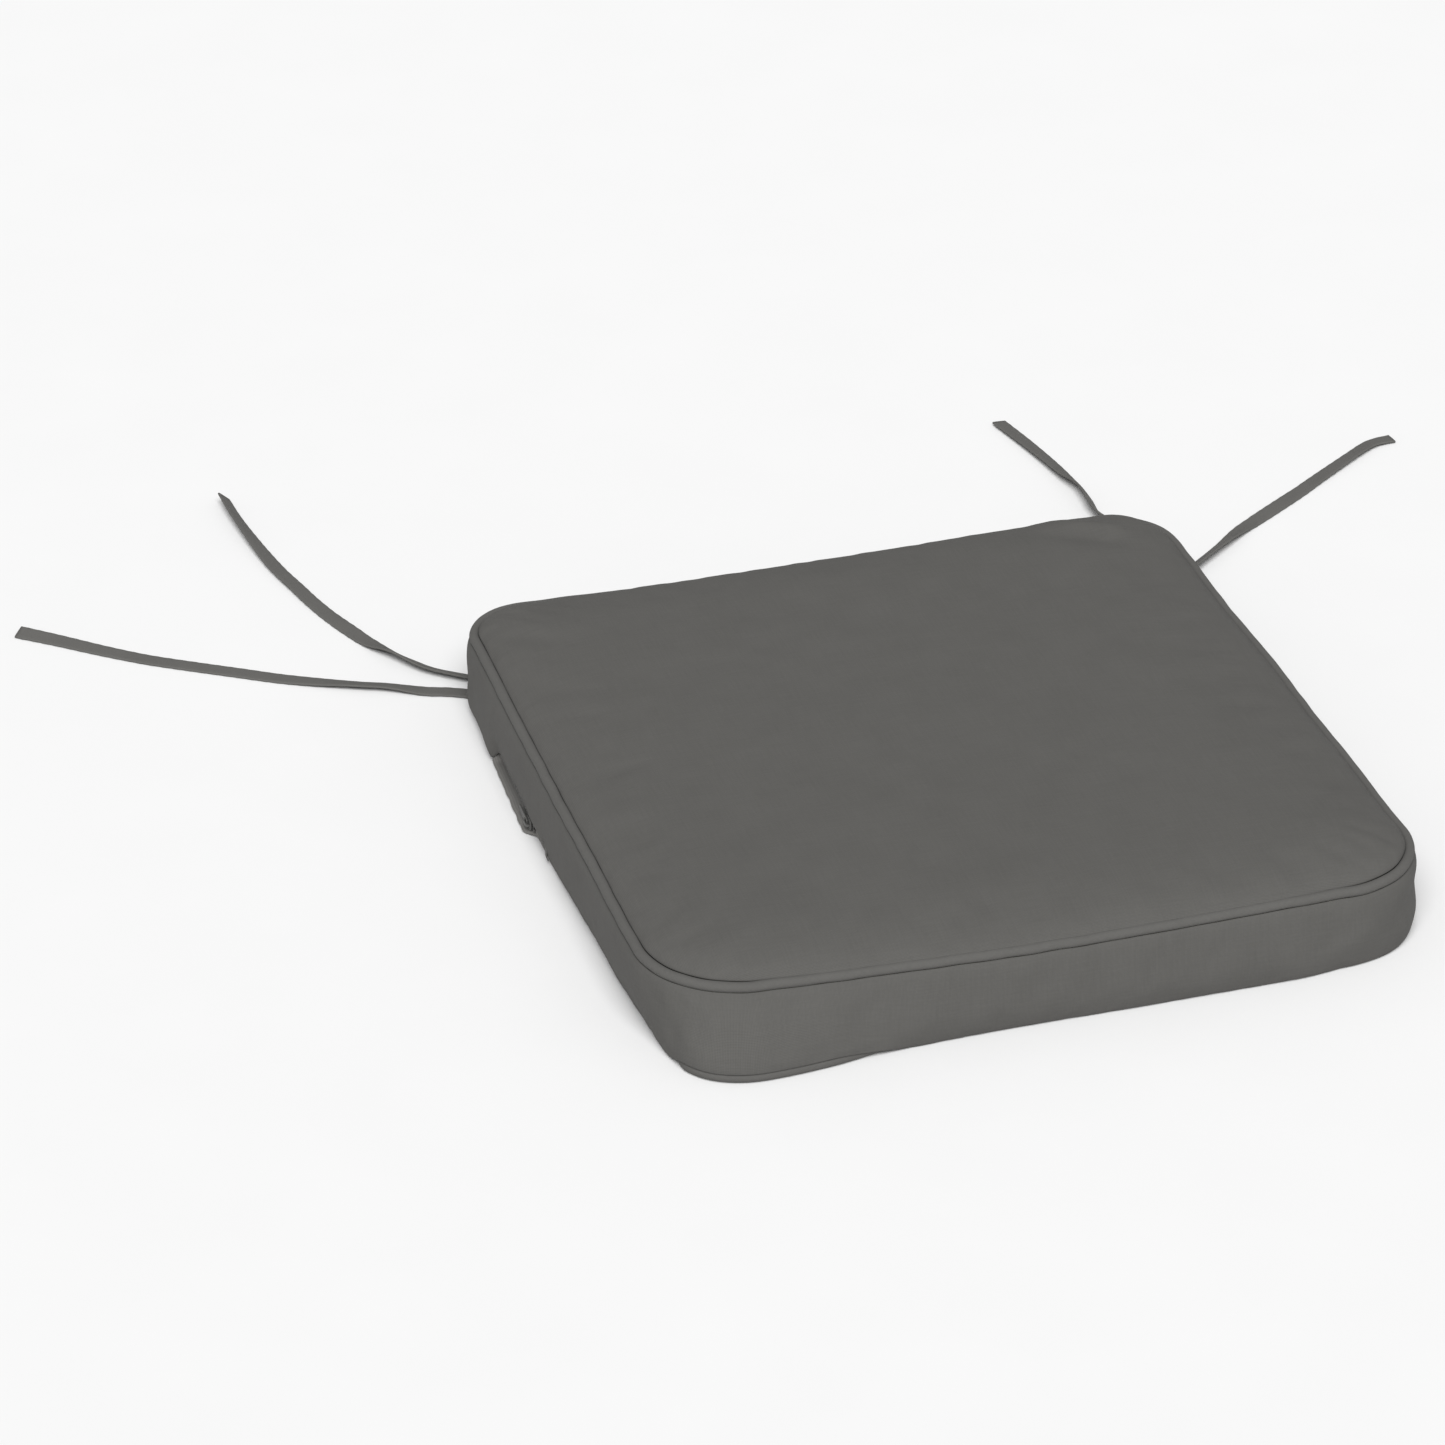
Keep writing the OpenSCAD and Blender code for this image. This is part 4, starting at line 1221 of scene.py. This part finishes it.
def make_low_tape():
    s = np.linspace(0, ZIP_LINE.length, round(ZIP_LINE.length / STRIP_GAP * 1.6) + 1)
    spot = ZIP_LINE.xy(s)
    left = spot[:, 0] < 0
    share = smooth((spot[:, 1] - FOLD_FRONT_Y) / 11) * smooth((FOLD_BACK_Y - spot[:, 1]) / 9) * left
    steps = np.linspace(0, len(TAPE_FLAT) - 1, 25)
    flat, folded, risen = (spline(p, steps) for p in (TAPE_FLAT, TAPE_FOLDED, TAPE_RISEN))
    up = smooth((spot[:, 1] - 113.5) / 3) * smooth((123 - spot[:, 1]) / 7) * left
    folded = folded + (risen - folded) * up[:, None, None]
    puckers = 1 + 0.03 * ripple(s, 14, 61) * share
    middle = flat + (folded - flat) * (share * puckers)[:, None, None]
    way = unit(np.gradient(middle, axis=1))
    aside = np.stack([way[..., 1], -way[..., 0]], axis=-1) * TAPE_T / 2
    section = np.concatenate([middle - aside, (middle + aside)[:, ::-1]], axis=1)
    points = ZIP_LINE.place(s[:, None], section[..., 0], section[..., 1])
    along = lengths_along(section[len(s) // 2])
    return upright(skin("zip_tape_low", points, s, along, ZIP_CLOTH_PAINTED_LIGHT, close_cols=True, caps=True))


piece(make_low_tape(), "zip_tape", "zip_tape_lower")

COIL_START = zip_place(ZIP_END_Y + 8, left=False)
COIL_END = zip_place(SLIDER_Y - SLIDER_LEN / 2 - 0.3)
COIL_INSET = TAPE_INSET - COIL_T / 2
EIGHT = np.radians(np.arange(0, 360, 45))


def make_coil(name, up):
    """A row of coil loops, each a rounded bar from the tape to a head beside the slot."""
    starts = np.arange(COIL_START + 0.6, COIL_END - 0.5, TEETH_PITCH)
    if up < 0:
        starts = starts[:-1] + TEETH_PITCH / 2
    closed = smooth((zip_place(ZIP_TUCK_Y + 6) - starts) / 6).reshape(-1, 1, 1)
    heads = (CHAIN_GAP / 2 - 0.25) * (1 - closed) + 0.12 * closed
    root = CHAIN_GAP / 2 + COIL_W + 0.05
    share = np.array([0, 0.06, 0.2, 0.6, 0.9, 1])[:, None]
    size = np.array([0.35, 0.8, 1.0, 0.78, 0.9, 0.4])[:, None]
    z = CHAIN_Z + up * (heads + (root - heads) * share) + 0 * EIGHT
    along = 0.5 * size * np.cos(EIGHT)
    inset = COIL_INSET + COIL_T / 2 * size * np.sin(EIGHT)
    return beads(name, ZIP_LINE, starts, along, inset, z, NYLON)


piece(make_coil("zip_teeth_up", 1), "zip_coil", "zip_coil_upper")
piece(make_coil("zip_teeth_low", -1), "zip_coil", "zip_coil_lower")


def side_frame(y, left=True):
    """Start, outward direction and direction towards the back, on the zip's line at height y."""
    s = zip_place(y, left)
    start = ZIP_LINE.xy(s)
    ahead = unit(ZIP_LINE.xy(zip_place(y + 3, left)) - start)
    outwards = np.array([-ahead[1], ahead[0]]) * (1 if left else -1)
    return start, outwards, ahead


def in_frame(points, place):
    """Points given as [out, along, z] in a side's frame, in space."""
    start, outwards, ahead = place
    plan = start + points[..., :1] * outwards + points[..., 1:2] * ahead
    return np.concatenate([plan, points[..., 2:]], axis=-1)


def prism(outline, low, high, chamfer):
    """Rings of a plate with chamfered edges: outline is [along, z], low to high is outwards."""
    outline = np.array(outline, float)
    middle = outline.mean(axis=0)
    size = np.abs(outline - middle).max(axis=0)
    small = middle + (outline - middle) * (1 - chamfer / size)
    rings = [(small, low), (outline, low + chamfer), (outline, high - chamfer), (small, high)]
    return np.array([[(out, b, z) for b, z in ring] for ring, out in rings])


def rounded(outline, radius, steps=3):
    """An outline in which every corner is rounded off."""
    outline = np.array(outline, float)
    result = []
    for i, spot in enumerate(outline):
        before, after = outline[i - 1], outline[(i + 1) % len(outline)]
        enter = spot + (before - spot) * min(0.5, radius / np.linalg.norm(before - spot))
        leave = spot + (after - spot) * min(0.5, radius / np.linalg.norm(after - spot))
        for t in np.linspace(0, 1, steps):
            result.append((1 - t) ** 2 * enter + 2 * t * (1 - t) * spot + t ** 2 * leave)
    return np.array(result)


def box_outline(b0, b1, z0, z1):
    return [(b0, z0), (b1, z0), (b1, z1), (b0, z1)]


def solids(name, parts, place, material):
    """One object from rings of [out, along, z] points, capped at both ends, in a side's frame."""
    points, faces = [], []
    total = 0
    for part in parts:
        rings, sides = part.shape[:2]
        points.append(in_frame(part.reshape(-1, 3), place))
        quads, _, _ = grid_faces(rings, sides, False, True, first=total)
        faces += quads.tolist()
        faces.append([total + k for k in reversed(range(sides))])
        faces.append([total + (rings - 1) * sides + k for k in range(sides)])
        total += rings * sides
    obj = make_object(name, np.vstack(points), faces, None, material, smooth_faces=False)
    upright(obj)
    obj.data.shade_smooth()
    obj.data.set_sharp_from_angle(angle=math.radians(40))
    return obj


OUTER_LOW = -TAPE_INSET + COIL_T + 0.4
PLATE_T = 0.9
OUTER_HIGH = OUTER_LOW + PLATE_T
INNER_HIGH = -(TAPE_INSET + TAPE_T + 0.4)
HALF_PLATE = 3.0
BRIDGE_OUT = OUTER_HIGH + 2.2
BRIDGE_T = 0.8
TAB_AXIS_OUT = OUTER_HIGH + (2.2 - BRIDGE_T) / 2


def shield():
    half = SLIDER_LEN / 2
    outline = [(-half, HALF_PLATE - 1.3), (-half + 1.4, HALF_PLATE), (half - 3, HALF_PLATE),
               (half, HALF_PLATE - 0.8), (half, -HALF_PLATE + 0.8), (half - 3, -HALF_PLATE),
               (-half + 1.4, -HALF_PLATE), (-half, -HALF_PLATE + 1.3)]
    return rounded(outline, 0.9) + [0, CHAIN_Z]


def bridge():
    """The arch that holds the pull tab, as rings along it."""
    spine = spline([(OUTER_HIGH - 0.3, -3.1), (OUTER_HIGH + 0.9, -3.1), (BRIDGE_OUT - 0.55, -2.5),
                    (BRIDGE_OUT - 0.4, -1.2), (BRIDGE_OUT - 0.4, 1.2), (BRIDGE_OUT - 0.55, 2.5),
                    (OUTER_HIGH + 0.9, 3.1), (OUTER_HIGH - 0.3, 3.1)], np.linspace(0, 7, 22))
    along = unit(np.gradient(spine, axis=0))
    across = np.column_stack([-along[:, 1], along[:, 0]])
    section = rounded(box_outline(-0.4, 0.4, -0.8, 0.8), 0.3)
    rings = []
    for spot, side in zip(spine, across):
        rings.append([(*(spot + side * q), CHAIN_Z + r) for q, r in section])
    return np.array(rings)


def make_slider():
    lip = OUTER_LOW + 0.1, -TAPE_INSET + 0.35
    parts = [prism(shield(), OUTER_LOW, OUTER_HIGH, 0.25),
             prism(shield(), INNER_HIGH - PLATE_T, INNER_HIGH, 0.25), bridge()]
    for z in (CHAIN_Z - HALF_PLATE, CHAIN_Z + HALF_PLATE - 0.55):
        outline = rounded(box_outline(-SLIDER_LEN / 2 + 1.2, SLIDER_LEN / 2 - 3, z, z + 0.55), 0.15)
        parts.append(prism(outline, lip[1], lip[0], 0.1))
    neck = rounded([(-SLIDER_LEN / 2 + 0.6, CHAIN_Z), (-SLIDER_LEN / 2 + 1.4, CHAIN_Z + 0.42),
                    (-SLIDER_LEN / 2 + 3, CHAIN_Z), (-SLIDER_LEN / 2 + 1.4, CHAIN_Z - 0.42)], 0.2)
    parts.append(prism(neck, INNER_HIGH - 0.1, OUTER_LOW + 0.1, 0.02))
    return solids("slider_body", parts, side_frame(SLIDER_Y), METAL)


piece(make_slider(), "zip_metal", "zip_slider", body="slider")

TAB_LEN = 17.0
TAB_W = 5.0
TAB_T = 0.9


def make_pull_tab():
    """A flat tab with an eye at its root, swept round the eye's middle."""
    hub = np.array([2.2, 0.0])
    angles = np.radians(np.arange(0, 360, 7.5))
    rays = np.column_stack([np.cos(angles), np.sin(angles)])
    hole = rounded(box_outline(0.48, 3.9, -1.35, 1.35), 0.5)
    body = rounded([(-0.45, -1.9), (-0.45, 1.9), (4, TAB_W / 2), (9, TAB_W / 2 - 0.5),
                    (13, TAB_W / 2), (TAB_LEN, 1.9), (TAB_LEN, -1.9), (13, -TAB_W / 2),
                    (9, -TAB_W / 2 + 0.5), (4, -TAB_W / 2)], 1.4, 4)

    def reach(outline, ray):
        a = outline - hub
        b = np.roll(outline, -1, axis=0) - hub
        edge_way = b - a
        cross = ray[0] * edge_way[:, 1] - ray[1] * edge_way[:, 0]
        cross[np.abs(cross) < 1e-9] = 1e-9
        t = (a[:, 0] * edge_way[:, 1] - a[:, 1] * edge_way[:, 0]) / cross
        q = (a[:, 0] * ray[1] - a[:, 1] * ray[0]) / cross
        return t[(q >= -1e-6) & (q <= 1 + 1e-6) & (t > 0)].min()

    half = TAB_T / 2
    rings = []
    for ray in rays:
        inner, outer = reach(hole, ray), reach(body, ray)
        edge_in, edge_out = inner + 0.15, outer - 0.2
        middle = (edge_in + edge_out) / 2
        dish = 0.14 if middle > 4 else 0.0
        profile = [(edge_in, half), (middle, half - dish), (edge_out, half), (outer, half - 0.2),
                   (outer, -half + 0.2), (edge_out, -half), (middle, -half + dish),
                   (edge_in, -half), (inner, -half + 0.15), (inner, half - 0.15)]
        rings.append([(TAB_AXIS_OUT + h, *(hub + ray * d)) for d, h in profile])
    points = in_frame(np.array(rings) + [0, 0, CHAIN_Z], side_frame(SLIDER_Y))
    rows, cols = points.shape[:2]
    obj = skin("pull_tab_plate", points, np.arange(rows + 1), np.arange(cols + 1), METAL,
               close_rows=True, close_cols=True)
    upright(obj)
    obj.data.set_sharp_from_angle(angle=math.radians(40))
    return obj


piece(make_pull_tab(), "zip_metal", "zip_pull_tab", body="pull_tab")


def crimp(b0, b1, z0, z1):
    """A folded metal stop round one coil or both."""
    return prism(rounded(box_outline(b0, b1, z0, z1), 0.35), -TAPE_INSET + 0.05,
                 -TAPE_INSET + COIL_T + 0.1, 0.25)


front_stops = solids("zip_front_stops",
                     [crimp(-1.7, -0.25, LOWER_Z - COIL_W, LOWER_Z),
                      crimp(-1.7, -0.25, UPPER_Z, UPPER_Z + COIL_W)],
                     side_frame(SLIDER_Y - SLIDER_LEN / 2 - 0.3), METAL)
piece(front_stops, "zip_metal", "zip_end_stops")
far_stop = solids("zip_far_stop", [crimp(-1.7, -0.25, LOWER_Z - COIL_W, UPPER_Z + COIL_W)],
                  side_frame(ZIP_END_Y + 8, left=False), METAL)
piece(far_stop, "zip_metal", "zip_end_stops")


def make_bar_tack(name, left):
    """Dense stitches across both tapes, side by side."""
    s = zip_place(ZIP_END_Y + 2, left)
    starts = s + np.linspace(-1.3, 1.3, 7)
    heights = np.linspace(2.4, HEM_Z + 2.3, 9)[:, None]
    arch = np.sqrt(np.maximum(0, 1 - np.linspace(-1, 1, 9)[:, None] ** 2 * 0.9))
    along = 0.26 * np.cos(ROUND_SIX) + 0.12 * np.sin(heights * 1.7)
    inset = TAPE_INSET - 0.25 - 1.1 * arch + 0.3 * np.sin(ROUND_SIX)
    z = heights + 0 * ROUND_SIX
    return beads(name, ZIP_LINE, starts, along, inset, z, THREAD)


for tack_name, tack_left in (("zip_tack_left", True), ("zip_tack_right", False)):
    piece(make_bar_tack(tack_name, tack_left), "thread", "zip_bar_tacks")

HEM_STITCH = 2.9
hem_starts = np.arange(2, ZIP_LINE.length - 4, HEM_STITCH)


def hem_inset(s):
    """Inset from the zip's line at which the band's face passes the hem's stitching."""
    spots = ZIP_LINE.xy(s + HEM_STITCH / 2)
    around = np.array([OUTLINE.nearest(x, y) for x, y in spots])
    zipped = spline(BAND_OVER_ZIP, np.linspace(5.2, 8, 20))
    face = np.interp(HEM_Z + 2, zipped[:, 1], zipped[:, 0])
    deep = zip_inset(around)
    level = smooth((22 - HEM_Z - 2) / 14)
    return face + 0.62 * deep * level - deep


piece(stitches("zip_hem_stitches", ZIP_LINE, hem_starts, HEM_STITCH * 0.84, hem_inset(hem_starts),
               np.full_like(hem_starts, HEM_Z + 2), 0.26), "thread", "zip_topstitch")


# ---- Bar tacks of the ties ----

def make_tie_tack(name, tie, node):
    """A zigzag of thread across a tie close to its root."""
    centre, across, tangent = TIE_FACTS[tie]
    i = int(np.argmin(np.abs(run_lengths(centre) - 8)))
    side = across[i]
    ahead = np.append(tangent[i], 0)
    face = np.cross(ahead, side)
    face *= np.sign(face[2]) or 1
    turns = np.linspace(-1, 1, 45)
    swing = np.abs((np.arange(45) % 8) - 4) / 2 - 1
    spine = (centre[i] + side * turns[:, None] * (TIE_W / 2 - 0.9) + ahead * swing[:, None] * 0.9
             + face * (TIE_T / 2 + 0.12))
    ring = (side * np.cos(ROUND_SIX)[:, None] + face * np.sin(ROUND_SIX)[:, None]) * 0.24
    points = spine[:, None] + ring
    obj = skin(name, points, np.arange(45) * 0.5, np.arange(7) * 0.3, THREAD, close_cols=True,
               caps=True)
    return piece(upright(obj), "thread", node)


for tie in TIES:
    make_tie_tack(tie + "_tack", tie, "tie_tacks_left" if "left" in tie else "tie_tacks_right")


# ---- Studio ----

def make_floor():
    finish = Finish("studio_floor", roughness=0.9, specular=0.1)
    grain = finish.noise(finish.space, 14.0, 2.0)
    finish.colour(grain, (0.88, 0.88, 0.88), (0.9, 0.9, 0.9))
    half = 9000.0
    points = [(-half, -half, 0), (half, -half, 0), (half, half, 0), (-half, half, 0)]
    floor = make_object("floor", points, [[0, 1, 2, 3]], None, finish.material)


def make_sun(name, strength, turn_deg, height_deg, size_deg):
    """A soft sun. turn 0 shines from the camera's side of the pad, above 0 from its right."""
    data = bpy.data.lights.new(name, "SUN")
    data.energy = strength
    data.angle = math.radians(size_deg)
    sun = bpy.data.objects.new(name, data)
    turn, height = math.radians(turn_deg), math.radians(height_deg)
    towards = Vector((math.sin(turn) * math.cos(height), -math.cos(turn) * math.cos(height),
                      math.sin(height)))
    sun.rotation_euler = towards.to_track_quat("Z", "Y").to_euler()
    bpy.context.scene.collection.objects.link(sun)


def make_world(strength):
    world = bpy.data.worlds.new("studio")
    world.use_nodes = True
    background = world.node_tree.nodes["Background"]
    background.inputs["Color"].default_value = (1, 1, 1, 1)
    background.inputs["Strength"].default_value = strength
    bpy.context.scene.world = world


make_floor()
make_sun("key", 2.9, -17, 52, 40)
make_world(0.34)
bpy.context.scene.view_settings.view_transform = "Standard"
